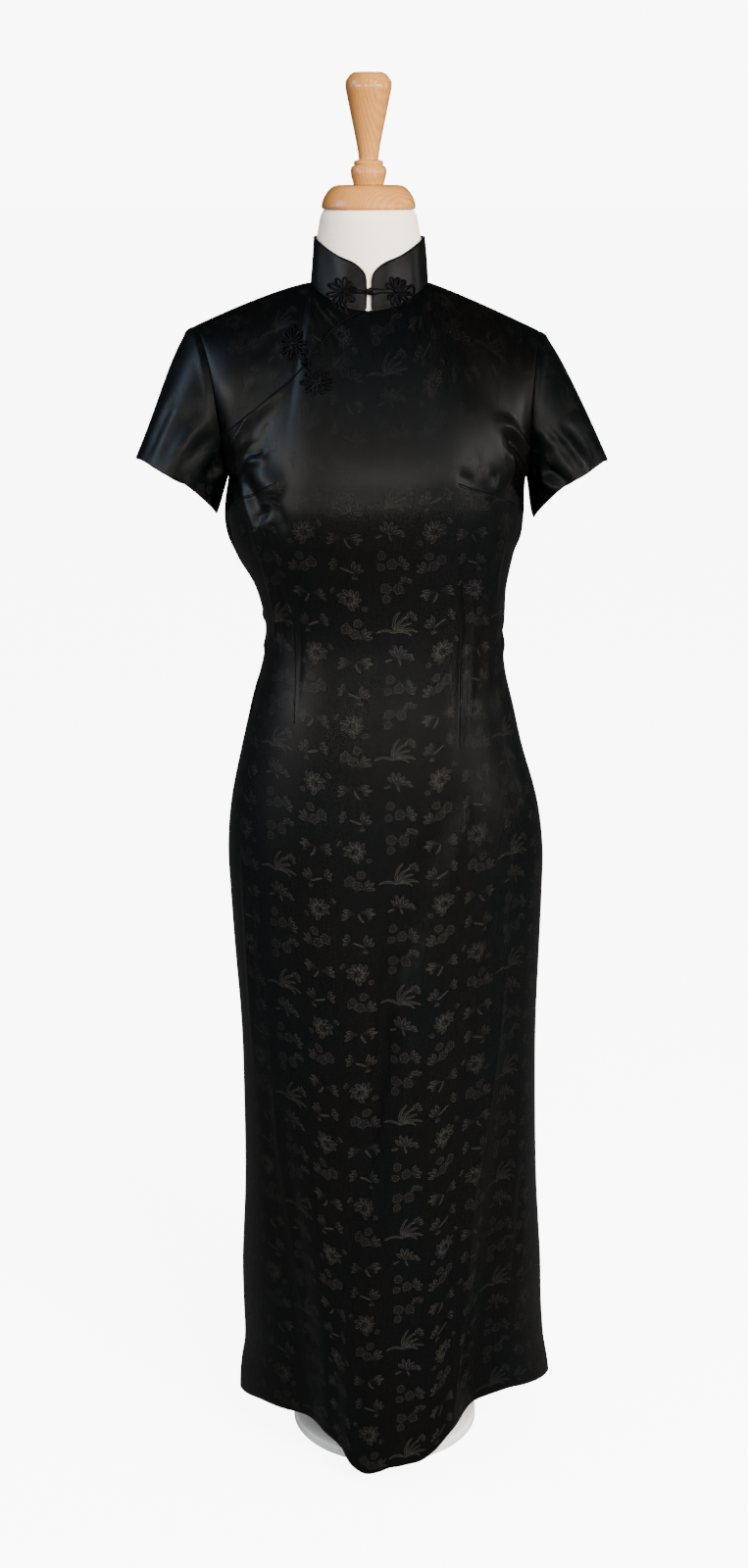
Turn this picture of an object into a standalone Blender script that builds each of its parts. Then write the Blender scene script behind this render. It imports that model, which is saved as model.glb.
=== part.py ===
"""Short-sleeved cheongsam of satin damask, worn by a limbless dress form on a metal stand.

Metres, +Z up, the dress faces -Y. The origin is the centre of the stand's underside. Every cloth
piece is a wall of even thickness. Its outer face is worked out from a table of sections below the
armpits, and above them from the shoulder line, the neckline and the armholes.
"""
import math
from collections import namedtuple

import bmesh
import bpy
import numpy as np

WALL = 0.0015
SEAM = 0.0003
OVERLAP_GAP = 0.0006
FRONT = -1
BACK = 1
LEFT = -1
RIGHT = 1

FRONT_COLUMNS = 30
BACK_COLUMNS = 20
FORM_COLUMNS = 20

HEM = 0.036
ARMPIT = 1.165
SLIT_TOP = 0.46
SLIT_OPENING = 0.012

Section = namedtuple("Section", "height centre half front back squareness")
SECTIONS = (
    Section(0.030, 0.0125, 0.1915, 0.152, 0.140, 1.48),
    Section(0.080, 0.0120, 0.1885, 0.150, 0.139, 1.56),
    Section(0.120, 0.0115, 0.1820, 0.149, 0.138, 1.64),
    Section(0.174, 0.0090, 0.1800, 0.147, 0.137, 1.72),
    Section(0.226, 0.0080, 0.1790, 0.145, 0.136, 1.83),
    Section(0.329, 0.0070, 0.1730, 0.140, 0.135, 2.02),
    Section(0.430, 0.0055, 0.1710, 0.135, 0.134, 2.12),
    Section(0.530, 0.0040, 0.1710, 0.130, 0.134, 2.20),
    Section(0.627, 0.0020, 0.1750, 0.125, 0.134, 2.28),
    Section(0.690, 0.0010, 0.1775, 0.121, 0.133, 2.30),
    Section(0.745, 0.0000, 0.1785, 0.118, 0.132, 2.30),
    Section(0.800, -0.0015, 0.1725, 0.115, 0.129, 2.30),
    Section(0.861, -0.0040, 0.1575, 0.111, 0.119, 2.30),
    Section(0.906, -0.0040, 0.1470, 0.107, 0.108, 2.30),
    Section(0.951, -0.0030, 0.1355, 0.103, 0.098, 2.30),
    Section(0.995, -0.0020, 0.1310, 0.101, 0.094, 2.30),
    Section(1.040, -0.0050, 0.1370, 0.104, 0.098, 2.30),
    Section(1.083, -0.0108, 0.1512, 0.112, 0.104, 2.30),
    Section(1.105, -0.0125, 0.1585, 0.117, 0.107, 2.30),
    Section(1.135, -0.0125, 0.1612, 0.121, 0.110, 2.30),
    Section(1.165, -0.0095, 0.1610, 0.120, 0.112, 2.30),
)

Fold = namedtuple("Fold", "side top across_top middle across_middle across_hem width depth")
FOLDS = (
    Fold(FRONT, 0.865, 0.085, 0.55, -0.004, -0.058, 0.015, -0.0050),
    Fold(FRONT, 0.800, 0.100, 0.50, 0.026, -0.022, 0.026, 0.0050),
    Fold(FRONT, 0.640, -0.145, 0.35, -0.115, -0.097, 0.024, -0.0150),
    Fold(FRONT, 0.700, 0.158, 0.40, 0.132, 0.104, 0.024, -0.0150),
    Fold(FRONT, 0.720, 0.140, 0.40, 0.112, 0.070, 0.018, 0.0040),
    Fold(BACK, 0.620, -0.100, 0.33, -0.085, -0.072, 0.026, -0.0110),
    Fold(BACK, 0.600, 0.110, 0.33, 0.092, 0.086, 0.026, -0.0120),
    Fold(BACK, 0.560, 0.000, 0.30, 0.008, 0.012, 0.034, 0.0060),
)

Hem = namedtuple("Hem", "across front back")
HEM_LINE = (
    Hem(-0.178, 0.053, 0.053),
    Hem(-0.160, 0.064, 0.049),
    Hem(-0.135, 0.065, 0.043),
    Hem(-0.112, 0.060, 0.041),
    Hem(-0.095, 0.053, 0.042),
    Hem(-0.078, 0.043, 0.044),
    Hem(-0.064, 0.029, 0.044),
    Hem(-0.046, 0.022, 0.040),
    Hem(-0.026, 0.026, 0.034),
    Hem(0.000, 0.034, 0.031),
    Hem(0.045, 0.0355, 0.034),
    Hem(0.064, 0.038, 0.039),
    Hem(0.080, 0.048, 0.044),
    Hem(0.096, 0.065, 0.046),
    Hem(0.115, 0.074, 0.044),
    Hem(0.135, 0.088, 0.047),
    Hem(0.162, 0.0955, 0.058),
    Hem(0.184, 0.087, 0.070),
    Hem(0.203, 0.076, 0.076),
)

SHOULDER_X = -0.0215
SHOULDER_HALF = 0.1855
Shoulder = namedtuple("Shoulder", "end height bow")
SHOULDERS = {
    LEFT: Shoulder(LEFT, 1.3225, 1.25),
    RIGHT: Shoulder(RIGHT, 1.3180, 1.10),
}
ARMHOLE_DEPTH = 0.052
NECK_X = -0.0180
NECK_HALF = 0.0625
NECK_FRONT = 0.056
NECK_BACK = 0.054
NECK_SIDE_Z = 1.3685
NECK_FRONT_DROP = 0.0255
NECK_BACK_RISE = 0.0
NECK_SHARE = 0.4
CHEST_PULL = 0.170
SIDE_PULL = 0.250
SHOULDER_PULL = 0.175
TIP_PULL = 0.125
NECK_PULL = 0.150
NECK_LEAN = 0.5
NECK_STEEP = 0.86
ARMHOLE_REACH = 0.45

Edge = namedtuple("Edge", "across height")
OPENING = (
    Edge(-0.190, 1.203),
    Edge(-0.168, 1.219),
    Edge(-0.149, 1.233),
    Edge(-0.129, 1.248),
    Edge(-0.106, 1.267),
    Edge(-0.086, 1.288),
    Edge(-0.073, 1.303),
    Edge(-0.059, 1.321),
    Edge(-0.045, 1.3325),
    Edge(-0.0196, 1.344),
)
TUCK = 0.16
FLUSH = 0.20

COLLAR_HEIGHT = 0.0465
COLLAR_EDGE_HEIGHT = 0.030
COLLAR_ROUND = 0.34
COLLAR_TOP_HALF = 0.0588
COLLAR_TOP_DEPTH = 0.0545
COLLAR_GAP = math.radians(3.2)

Sleeve = namedtuple("Sleeve", "name end outer_x outer_z under_x under_z")
SLEEVES = (
    Sleeve("sleeve_left", LEFT, -0.2708, 1.182, -0.1840, 1.122),
    Sleeve("sleeve_right", RIGHT, 0.2400, 1.180, 0.1605, 1.118),
)
CUFF_DEPTH = 0.062
CUFF_FRONT_LIFT = 0.012
CUFF_RISE = 0.0065
CUFF_BOW = 1.25
Heading = namedtuple("Heading", "out down length")
UNDER_START = Heading(0.30, 0.95, 0.045)
UNDER_STOP = Heading(0.35, 0.93, 0.045)
OVER_START = Heading(0.86, 0.50, 0.065)
OVER_STOP = Heading(0.42, 0.91, 0.130)

CORD = 0.00095
CORD_LIFT = 0.0007
PETALS = 8
PETAL_ROOT = 0.42
Flower = namedtuple("Flower", "name on across height half_wide half_tall turn")
FLOWERS = (
    Flower("flower_collar_left", "collar", -0.0458, 1.3622, 0.0176, 0.0142, 0.2),
    Flower("flower_collar_right", "collar", 0.0110, 1.3624, 0.0172, 0.0140, 0.1),
    Flower("flower_chest_upper", "front", -0.0967, 1.3090, 0.0156, 0.0182, 0.3),
    Flower("flower_chest_lower", "front", -0.0726, 1.2730, 0.0176, 0.0154, 0.0),
)
Knot = namedtuple("Knot", "name on across height lift half_length radius tilt")
KNOTS = (
    Knot("knot_collar", "collar", -0.0175, 1.3625, 0.0029, 0.0068, 0.0028, 0.0),
    Knot("knot_chest", "front", -0.0846, 1.2910, 0.0033, 0.0036, 0.0026, -0.98),
)

FORM_BOTTOM = 0.662
FORM_INSET = 0.0048
FORM_WAIST_INSET = 0.0075
FORM_SHOULDER_INSET = 0.0021
FORM_NECK_INSET = 0.0040
NECK_X_CAP = -0.0187
NECK_TOP = 1.4437
Ring = namedtuple("Ring", "height half depth")
NECK_RINGS = (
    Ring(1.378, 0.0570, 0.0515),
    Ring(1.396, 0.0567, 0.0512),
    Ring(1.412, 0.0552, 0.0515),
    Ring(1.427, 0.0526, 0.0512),
    Ring(1.437, 0.0506, 0.0505),
    Ring(NECK_TOP, 0.0470, 0.0470),
)

Turned = namedtuple("Turned", "radius height")
CAP_PROFILE = (
    Turned(0.0000, 1.4680),
    Turned(0.0325, 1.4680),
    Turned(0.0382, 1.4662),
    Turned(0.0424, 1.4620),
    Turned(0.0458, 1.4570),
    Turned(0.0486, 1.4535),
    Turned(0.0495, 1.4490),
    Turned(0.0489, 1.4440),
    Turned(0.0000, 1.4440),
)
FINIAL_PROFILE = (
    Turned(0.0000, 1.5810),
    Turned(0.0185, 1.5810),
    Turned(0.0224, 1.5787),
    Turned(0.0240, 1.5700),
    Turned(0.0237, 1.5625),
    Turned(0.0219, 1.5550),
    Turned(0.0178, 1.5360),
    Turned(0.0133, 1.5160),
    Turned(0.0104, 1.4995),
    Turned(0.0123, 1.4930),
    Turned(0.0172, 1.4900),
    Turned(0.0187, 1.4850),
    Turned(0.0178, 1.4780),
    Turned(0.0146, 1.4720),
    Turned(0.0150, 1.4683),
    Turned(0.0000, 1.4683),
)
POLE_RADIUS = 0.0125
BASE_RADIUS = 0.112
BASE_HEIGHT = 0.012
BASE_Y = 0.020


def unit(vector):
    """Vector of length one along the given one."""
    return vector / np.linalg.norm(vector)


def ease(value):
    """Smooth step from 0 to 1."""
    value = min(max(value, 0.0), 1.0)
    return value * value * (3.0 - 2.0 * value)


def read_table(rows, key):
    """Row of a table at any value of its first column, on a smooth curve through the rows."""
    keys = [row[0] for row in rows]
    key = min(max(key, keys[0]), keys[-1])
    i = max(k for k in range(len(rows) - 1) if keys[k] <= key)
    span = keys[i + 1] - keys[i]
    t = (key - keys[i]) / span

    def slope(at, column):
        low = max(at - 1, 0)
        high = min(at + 1, len(rows) - 1)
        return (rows[high][column] - rows[low][column]) / (keys[high] - keys[low])

    values = []
    for column in range(1, len(rows[0])):
        start = rows[i][column]
        rise = rows[i + 1][column] - start
        lead = slope(i, column) * span
        trail = slope(i + 1, column) * span
        values.append(start + t * lead + t * t * (3 * rise - 2 * lead - trail)
                      + t ** 3 * (lead + trail - 2 * rise))
    return type(rows[0])(key, *values)


def fold_route(fold, height):
    """Where a fold lies across the dress at a height: a parabola through its three places."""
    a, b, c = fold.top, fold.middle, HEM
    return (fold.across_top * (height - b) * (height - c) / ((a - b) * (a - c))
            + fold.across_middle * (height - a) * (height - c) / ((b - a) * (b - c))
            + fold.across_hem * (height - a) * (height - b) / ((c - a) * (c - b)))


def fold_depth(side, across, height):
    """How far the folds push the cloth out, or in where it is negative."""
    total = 0.0
    for fold in FOLDS:
        if fold.side != side or height > fold.top:
            continue
        strength = ease(1.15 * (fold.top - height) / (fold.top - HEM))
        away = (across - fold_route(fold, height)) / (fold.width * (0.6 + 0.4 * strength))
        total += fold.depth * strength * math.exp(-away * away)
    return total


def hem_height(side, across):
    """Height of the hem, which lifts at the slits and where a fold turns in."""
    row = read_table(HEM_LINE, across)
    return row.front if side == FRONT else row.back


def tube_point(angle, height):
    """Outer face below the armpits: angle 0 is the centre front and pi the centre back."""
    section = read_table(SECTIONS, height)
    power = 2.0 / section.squareness
    sine = math.sin(angle)
    cosine = math.cos(angle)
    side = FRONT if cosine >= 0 else BACK
    depth = section.front if side == FRONT else section.back
    x = section.half * math.copysign(abs(sine) ** power, sine)
    y = side * depth * abs(cosine) ** power
    n = section.squareness
    out = unit(np.array((math.copysign(abs(x) ** (n - 1) / section.half ** n, x) + 1e-9,
                         side * abs(y) ** (n - 1) / depth ** n)))
    push = fold_depth(side, section.centre + x, height) * ease(abs(y) / 0.03)
    return np.array((section.centre + x + out[0] * push, y + out[1] * push, height))


def slit_share(height):
    """Part of the half girth that the side slit takes from each panel's edge."""
    if height >= SLIT_TOP:
        return 0.0
    section = read_table(SECTIONS, height)
    opening = SLIT_OPENING * ((SLIT_TOP - height) / (SLIT_TOP - HEM)) ** 1.3
    angle = (0.5 * opening / section.front) ** (0.5 * section.squareness)
    return angle / (0.5 * math.pi)


def lower_point(side, u, v):
    """Panel point from hem, v = 0, to armpit, v = 1, and from side seam to side seam, u = -1 to 1."""
    guess = read_table(SECTIONS, HEM)
    across = guess.centre + guess.half * math.sin(0.5 * math.pi * u)
    low = hem_height(side, across) if abs(u) <= 1 else HEM
    height = low + (ARMPIT - low) * v
    u = u * (1.0 - slit_share(height))
    angle = 0.5 * math.pi * u
    return tube_point(angle if side == FRONT else math.pi - angle, height)


def shoulder_tip(end):
    """Outer end of the shoulder seam."""
    return np.array((SHOULDER_X + end * SHOULDER_HALF, 0.0, SHOULDERS[end].height))


def neck_point(angle):
    """Neckline seam: angle 0 is the centre back and pi the centre front."""
    sine = math.sin(angle)
    cosine = math.cos(angle)
    if cosine < 0:
        return np.array((NECK_X + NECK_HALF * sine, NECK_FRONT * cosine,
                         NECK_SIDE_Z - NECK_FRONT_DROP * cosine * cosine))
    return np.array((NECK_X + NECK_HALF * sine, NECK_BACK * cosine, NECK_SIDE_Z + NECK_BACK_RISE * cosine))


def top_edge(side, u):
    """Where a panel's column ends on the shoulder seam or the neckline, and its heading there."""
    over = np.array((0.0, -float(side), 0.0))
    if abs(u) >= NECK_SHARE:
        share = (abs(u) - NECK_SHARE) / (1.0 - NECK_SHARE)
        end = LEFT if u < 0 else RIGHT
        neck = NECK_X + end * NECK_HALF
        tip = shoulder_tip(end)
        point = np.array((neck + (tip[0] - neck) * share, 0.0,
                          NECK_SIDE_Z - (NECK_SIDE_Z - tip[2]) * share ** SHOULDERS[end].bow))
        return point, (SHOULDER_PULL + (TIP_PULL - SHOULDER_PULL) * share) * over
    turn = 0.5 * math.pi * abs(u) / NECK_SHARE
    angle = math.pi - turn if side == FRONT else turn
    point = neck_point(math.copysign(angle, u) if u else angle)
    middle = math.cos(turn)
    rise = np.array((0.0, -NECK_LEAN * side, NECK_STEEP))
    pull = SHOULDER_PULL + (NECK_PULL - SHOULDER_PULL) * middle
    return point, pull * unit(over * (1.0 - middle) + rise * middle)


def armhole_point(side, end, w):
    """Armhole seam from the armpit, w = 0, to the shoulder tip, w = 1."""
    low = tube_point(end * 0.5 * math.pi, ARMPIT)
    tip = shoulder_tip(end)
    return np.array((low[0] + (tip[0] - low[0]) * w * w,
                     side * ARMHOLE_DEPTH * math.sin(math.pi * w),
                     ARMPIT + (tip[2] - ARMPIT) * 0.5 * (1.0 - math.cos(math.pi * w))))


def hermite(start, start_heading, stop, stop_heading, t):
    """Point on the cubic curve between two places with given headings."""
    return ((2 * t ** 3 - 3 * t * t + 1) * start + (t ** 3 - 2 * t * t + t) * start_heading
            + (3 * t * t - 2 * t ** 3) * stop + (t ** 3 - t * t) * stop_heading)


def column_point(side, u, w):
    """Upper panel without regard to the armhole."""
    start = lower_point(side, u, 1.0)
    length = CHEST_PULL + (SIDE_PULL - CHEST_PULL) * ease((abs(u) - 0.05) / 0.45)
    heading = unit(start - lower_point(side, u, 0.99)) * length
    stop, stop_heading = top_edge(side, u)
    return hermite(start, heading, stop, stop_heading, w)


def upper_point(side, u, w):
    """Panel point from armpit, w = 0, to the shoulder and neckline, w = 1."""
    end = LEFT if u < 0 else RIGHT
    share = ease((abs(u) - ARMHOLE_REACH) / (1.0 - ARMHOLE_REACH))
    point = column_point(side, u, w)
    if share > 0:
        point = point + share * (armhole_point(side, end, w) - column_point(side, end, w))
    return point


def panel_point(side, u, v):
    """Outer face of a panel: v runs from 0 at the hem over 1 at the armpit to 2 at the top."""
    return lower_point(side, u, v) if v <= 1.0 else upper_point(side, u, v - 1.0)


def panel_inward(side, u, v):
    """Direction into the cloth, square to a panel's outer face."""
    step = 0.004
    if v >= 1.999 and abs(u) >= NECK_SHARE - 0.001:
        near = top_edge(side, math.copysign(max(abs(u) - 0.02, NECK_SHARE), u))[0]
        far = top_edge(side, math.copysign(min(max(abs(u) - 0.02, NECK_SHARE) + 0.03, 1.0), u))[0]
        run = far - near
        return unit(np.array((run[2], 0.0, -run[0])) * math.copysign(1.0, u))
    limit = 1.0 if v > 1.0 else 1.0 + step
    u_low = max(u - step, -limit)
    u_high = min(u + step, limit)
    v_low = max(v - step, 0.0)
    v_high = min(v + step, 2.0)
    if v <= 1.0:
        v_high = min(v_high, 1.0)
    across = panel_point(side, u_high, v) - panel_point(side, u_low, v)
    if abs(u) == 1.0 and v <= 1.0:
        across = np.array((0.0, -side * math.copysign(1.0, u), 0.0))
    along = panel_point(side, u, v_high) - panel_point(side, u, v_low)
    return unit(np.cross(across, along)) * side


def find_on_front(across, height):
    """Panel place, u and v, of the point of the upper front at given x and z."""
    u = (across - NECK_X) / 0.17
    v = 1.0 + (height - ARMPIT) / 0.18
    for _ in range(12):
        u = min(max(u, -0.995), 0.995)
        v = min(max(v, 1.005), 1.995)
        here = panel_point(FRONT, u, v)
        du = (panel_point(FRONT, u + 0.002, v) - here) / 0.002
        dv = (panel_point(FRONT, u, v + 0.002) - here) / 0.002
        miss = (across - here[0], height - here[2])
        scale = du[0] * dv[2] - du[2] * dv[0]
        u += (miss[0] * dv[2] - miss[1] * dv[0]) / scale
        v += (miss[1] * du[0] - miss[0] * du[2]) / scale
    return u, v


def opening_top(u):
    """Where the front's column u ends: on the diagonal opening, or at the top."""
    if u > -0.005:
        return 2.0
    low = 1.05
    high = 2.0
    for _ in range(30):
        middle = 0.5 * (low + high)
        point = panel_point(FRONT, u, middle)
        if point[2] < read_table(OPENING, point[0]).height:
            low = middle
        else:
            high = middle
    return high


def add_mesh(name, points, faces, material, smooth=True):
    """Object from points and faces, with its faces turned out."""
    mesh = bpy.data.meshes.new(name)
    mesh.from_pydata([tuple(float(value) for value in point) for point in points], [], faces)
    shape = bmesh.new()
    shape.from_mesh(mesh)
    bmesh.ops.remove_doubles(shape, verts=shape.verts, dist=0.00001)
    bmesh.ops.recalc_face_normals(shape, faces=shape.faces)
    shape.to_mesh(mesh)
    shape.free()
    if smooth:
        mesh.shade_smooth()
        mesh.set_sharp_from_angle(angle=math.radians(50))
    mesh.materials.append(material)
    item = bpy.data.objects.new(name, mesh)
    bpy.context.collection.objects.link(item)
    return item


def add_wall(name, outer, inner, material, closed=False):
    """Cloth wall between two grids of points, closed round its rim, or a tube where closed is set."""
    columns = len(outer)
    rows = len(outer[0])
    points = [point for column in outer for point in column]
    points += [point for column in inner for point in column]
    back = columns * rows

    def at(i, j):
        return (i % columns) * rows + j

    faces = []
    for i in range(columns if closed else columns - 1):
        for j in range(rows - 1):
            quad = (at(i, j), at(i + 1, j), at(i + 1, j + 1), at(i, j + 1))
            faces.append(quad)
            faces.append(tuple(back + k for k in reversed(quad)))
        for j in (0, rows - 1):
            faces.append((at(i, j), at(i + 1, j), back + at(i + 1, j), back + at(i, j)))
    if not closed:
        for i in (0, columns - 1):
            for j in range(rows - 1):
                faces.append((at(i, j), at(i, j + 1), back + at(i, j + 1), back + at(i, j)))
    return add_mesh(name, points, faces, material)


def panel_columns(count):
    """Places across a panel, from its left edge, -1, to its right edge, 1."""
    return [-1.0 + 2.0 * i / count for i in range(count + 1)]


def panel_grids(side, columns, lower_rows, upper_rows, top):
    """Outer and inner grid of the front or back, with the seam gaps taken off its edges."""
    outer = []
    inner = []
    for u in panel_columns(columns):
        last = top(u)
        places = [k / lower_rows for k in range(lower_rows)]
        places += [1.0 + (last - 1.0) * k / upper_rows for k in range(upper_rows + 1)]
        outer_column = []
        inner_column = []
        for v in places:
            point = panel_point(side, u, v)
            shift = np.zeros(3)
            if abs(u) == 1.0 and v <= 1.0:
                shift[1] += side * 0.5 * SEAM
            if abs(u) == 1.0 and v >= 1.0:
                shift[0] -= u * 0.5 * SEAM
            if v == 2.0:
                if abs(u) >= NECK_SHARE - 0.001:
                    shift[1] += side * 0.5 * SEAM
                else:
                    shift[2] -= 0.5 * SEAM
            outer_column.append(point + shift)
            inner_column.append(point + shift + WALL * panel_inward(side, u, v))
        outer.append(outer_column)
        inner.append(inner_column)
    return outer, inner


def make_front(material):
    outer, inner = panel_grids(FRONT, FRONT_COLUMNS, 25, 11, opening_top)
    return add_wall("front", outer, inner, material)


def make_back(material):
    outer, inner = panel_grids(BACK, BACK_COLUMNS, 22, 9, lambda u: 2.0)
    return add_wall("back", outer, inner, material)


def make_underlap(material):
    """Upper front piece behind the diagonal opening, a wall deeper where the front lies over it."""
    rows = 9
    outer = []
    inner = []
    places = [u for u in panel_columns(FRONT_COLUMNS) if u < -0.03] + [-0.02]
    for i, u in enumerate(places):
        edge = opening_top(u)
        low = max(edge - TUCK, 1.02)
        outer_column = []
        inner_column = []
        for j in range(rows + 1):
            v = low + (2.0 - low) * j / rows
            point = panel_point(FRONT, u, v)
            inward = panel_inward(FRONT, u, v)
            deeper = (WALL + OVERLAP_GAP) * (1.0 - ease((v - edge - 0.02) / FLUSH))
            shift = np.zeros(3)
            if i == 0:
                shift[0] += 0.5 * SEAM
            if j == rows:
                if u <= 0.001 - NECK_SHARE:
                    shift[1] -= 0.5 * SEAM
                else:
                    shift[2] -= 0.5 * SEAM
            outer_column.append(point + shift + deeper * inward)
            inner_column.append(point + shift + (deeper + WALL) * inward)
        outer.append(outer_column)
        inner.append(inner_column)
    return add_wall("underlap", outer, inner, material)


def collar_height(angle):
    """Height of the collar band, rounded down towards its two front ends."""
    away = math.pi - COLLAR_GAP - abs(angle)
    if away >= COLLAR_ROUND:
        return COLLAR_HEIGHT
    rest = 1.0 - away / COLLAR_ROUND
    return COLLAR_EDGE_HEIGHT + (COLLAR_HEIGHT - COLLAR_EDGE_HEIGHT) * math.sqrt(max(1.0 - rest * rest, 0.0))


def collar_point(angle, height, lift=0.0):
    """Point of the collar's outer face at a height over the neckline, moved out by lift."""
    low = neck_point(angle)
    share = height / COLLAR_HEIGHT
    high_x = NECK_X + COLLAR_TOP_HALF * math.sin(angle)
    high_y = COLLAR_TOP_DEPTH * math.cos(angle)
    out = unit(np.array((math.sin(angle) / NECK_HALF, math.cos(angle) / NECK_BACK, 0.0)))
    return np.array((low[0] + (high_x - low[0]) * share, low[1] + (high_y - low[1]) * share,
                     low[2] + height)) + lift * out


def make_collar(material):
    columns = 36
    rows = 4
    outer = []
    inner = []
    for i in range(columns + 1):
        share = -1.0 + 2.0 * i / columns
        angle = (math.pi - COLLAR_GAP) * math.copysign(abs(share) ** 0.85, share)
        high = collar_height(angle)
        heights = [0.5 * SEAM + (high - 0.5 * SEAM) * j / rows for j in range(rows + 1)]
        outer.append([collar_point(angle, height) for height in heights])
        inner.append([collar_point(angle, height, -WALL) for height in heights])
    return add_wall("collar", outer, inner, material)


def sleeve_heading(sleeve, under, over, share):
    """Heading of a sleeve's line between the one under the arm, share 0, and the one on top, share 1."""
    low = under.length * np.array((under.out * sleeve.end, 0.0, -under.down))
    high = over.length * np.array((over.out * sleeve.end, 0.0, -over.down))
    return low + (high - low) * share


def sleeve_point(sleeve, turn, v):
    """Sleeve surface: turn 0 is under the arm, pi is the top, and v runs from armhole to hem."""
    if turn <= math.pi:
        start = armhole_point(FRONT, sleeve.end, turn / math.pi)
    else:
        start = armhole_point(BACK, sleeve.end, 2.0 - turn / math.pi)
    sine = math.sin(turn)
    cosine = math.cos(turn)
    middle_x = 0.5 * (sleeve.outer_x + sleeve.under_x)
    middle_z = 0.5 * (sleeve.outer_z + sleeve.under_z)
    half_x = 0.5 * (sleeve.outer_x - sleeve.under_x)
    half_z = 0.5 * (sleeve.outer_z - sleeve.under_z)
    steep = math.copysign(abs(cosine) ** CUFF_BOW, cosine)
    stop = np.array((middle_x - half_x * cosine, -CUFF_DEPTH * sine,
                     middle_z - half_z * steep + CUFF_FRONT_LIFT * sine + CUFF_RISE * abs(sine)))
    share = 0.5 * (1.0 - cosine)
    start_heading = sleeve_heading(sleeve, UNDER_START, OVER_START, share)
    stop_heading = sleeve_heading(sleeve, UNDER_STOP, OVER_STOP, share)
    return hermite(start, start_heading, stop, stop_heading, v)


def sleeve_inward(sleeve, turn, v):
    """Direction into the sleeve, in the armhole's plane where the sleeve is sewn in."""
    start = sleeve_point(sleeve, turn, 0.0)
    centre_z = 0.5 * (ARMPIT + SHOULDERS[sleeve.end].height)
    ring = unit(np.array((0.0, -start[1], centre_z - start[2])))
    if v == 0:
        return ring
    step = 0.01
    around = (sleeve_point(sleeve, (turn + step) % (2 * math.pi), v)
              - sleeve_point(sleeve, (turn - step) % (2 * math.pi), v))
    along = sleeve_point(sleeve, turn, min(v + step, 1.0)) - sleeve_point(sleeve, turn, v - step)
    inward = unit(np.cross(around, along)) * sleeve.end
    return inward


def make_sleeve(sleeve, material):
    columns = 22
    rows = 6
    outer = []
    inner = []
    for i in range(columns):
        turn = 2.0 * math.pi * i / columns
        outer_column = []
        inner_column = []
        for j in range(rows + 1):
            v = j / rows
            point = sleeve_point(sleeve, turn, v)
            point[0] += sleeve.end * 0.5 * SEAM
            outer_column.append(point)
            inner_column.append(point + WALL * sleeve_inward(sleeve, turn, v))
        outer.append(outer_column)
        inner.append(inner_column)
    return add_wall(sleeve.name, outer, inner, material, closed=True)


def place_on(on, across, height, lift):
    """Point at given x and z on the collar or the front, moved out by lift."""
    if on == "collar":
        angle = math.pi - math.asin(max(min((across - NECK_X) / NECK_HALF, 1.0), -1.0))
        return collar_point(angle, height - neck_point(angle)[2], lift)
    u, v = find_on_front(across, height)
    return panel_point(FRONT, u, v) - lift * panel_inward(FRONT, u, v)


def flower_place(flower, a, b, lift):
    """Point of a flower's own flat plan laid on the cloth that carries it."""
    if flower.on == "collar":
        start = math.asin((flower.across - NECK_X) / NECK_HALF)
        angle = math.pi - (start + a / NECK_HALF)
        middle = neck_point(math.pi - start)[2]
        height = flower.height - middle + b
        return collar_point(angle, height, lift)
    return place_on(flower.on, flower.across + a, flower.height + b, lift)


def petal_path():
    """Closed cord line in a flower of size one that loops out and back once for each petal."""
    places = []
    steps = 6 * PETALS
    for k in range(steps):
        t = 2.0 * math.pi * k / steps
        radius = 0.5 * (1.0 + PETAL_ROOT) + 0.5 * (1.0 - PETAL_ROOT) * math.cos(PETALS * t)
        angle = t + 0.9 / (2 * PETALS) * math.sin(2 * PETALS * t)
        places.append((radius * math.cos(angle), radius * math.sin(angle)))
    return places


def make_flower(flower, material):
    """Looped cord flower: a closed tube of five sides along the petal line, laid on the cloth."""
    sides = 5
    cosine = math.cos(flower.turn)
    sine = math.sin(flower.turn)
    path = [(flower.half_wide * (a * cosine - b * sine), flower.half_tall * (a * sine + b * cosine))
            for a, b in petal_path()]
    count = len(path)
    points = []
    faces = []
    for k in range(count):
        a, b = path[k]
        before = path[k - 1]
        after = path[(k + 1) % count]
        run = np.array((after[0] - before[0], after[1] - before[1]))
        run = run / np.linalg.norm(run)
        for m in range(sides):
            angle = 2.0 * math.pi * (m + 0.5) / sides - 0.5 * math.pi
            out = CORD * math.cos(angle)
            up = CORD_LIFT + CORD * (math.cos(math.pi / sides) + math.sin(angle))
            points.append(flower_place(flower, a + run[1] * out, b - run[0] * out, up))
    for k in range(count):
        for m in range(sides):
            here = k * sides
            there = ((k + 1) % count) * sides
            faces.append((here + m, here + (m + 1) % sides, there + (m + 1) % sides, there + m))
    return add_mesh(flower.name, points, faces, material)


def make_knot(knot, material):
    """Ball knot with its stems, drawn out along the line between a frog's two flowers."""
    centre = place_on(knot.on, knot.across, knot.height, knot.lift)
    bpy.ops.mesh.primitive_uv_sphere_add(segments=10, ring_count=7, radius=knot.radius)
    item = bpy.context.object
    item.name = knot.name
    item.data.name = knot.name
    stretch = knot.half_length / knot.radius
    for vertex in item.data.vertices:
        along = vertex.co.x * stretch
        vertex.co = (centre[0] + along * math.cos(knot.tilt) - vertex.co.z * math.sin(knot.tilt),
                     centre[1] + vertex.co.y,
                     centre[2] + along * math.sin(knot.tilt) + vertex.co.z * math.cos(knot.tilt))
    item.data.shade_smooth()
    item.data.materials.append(material)
    return item


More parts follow.
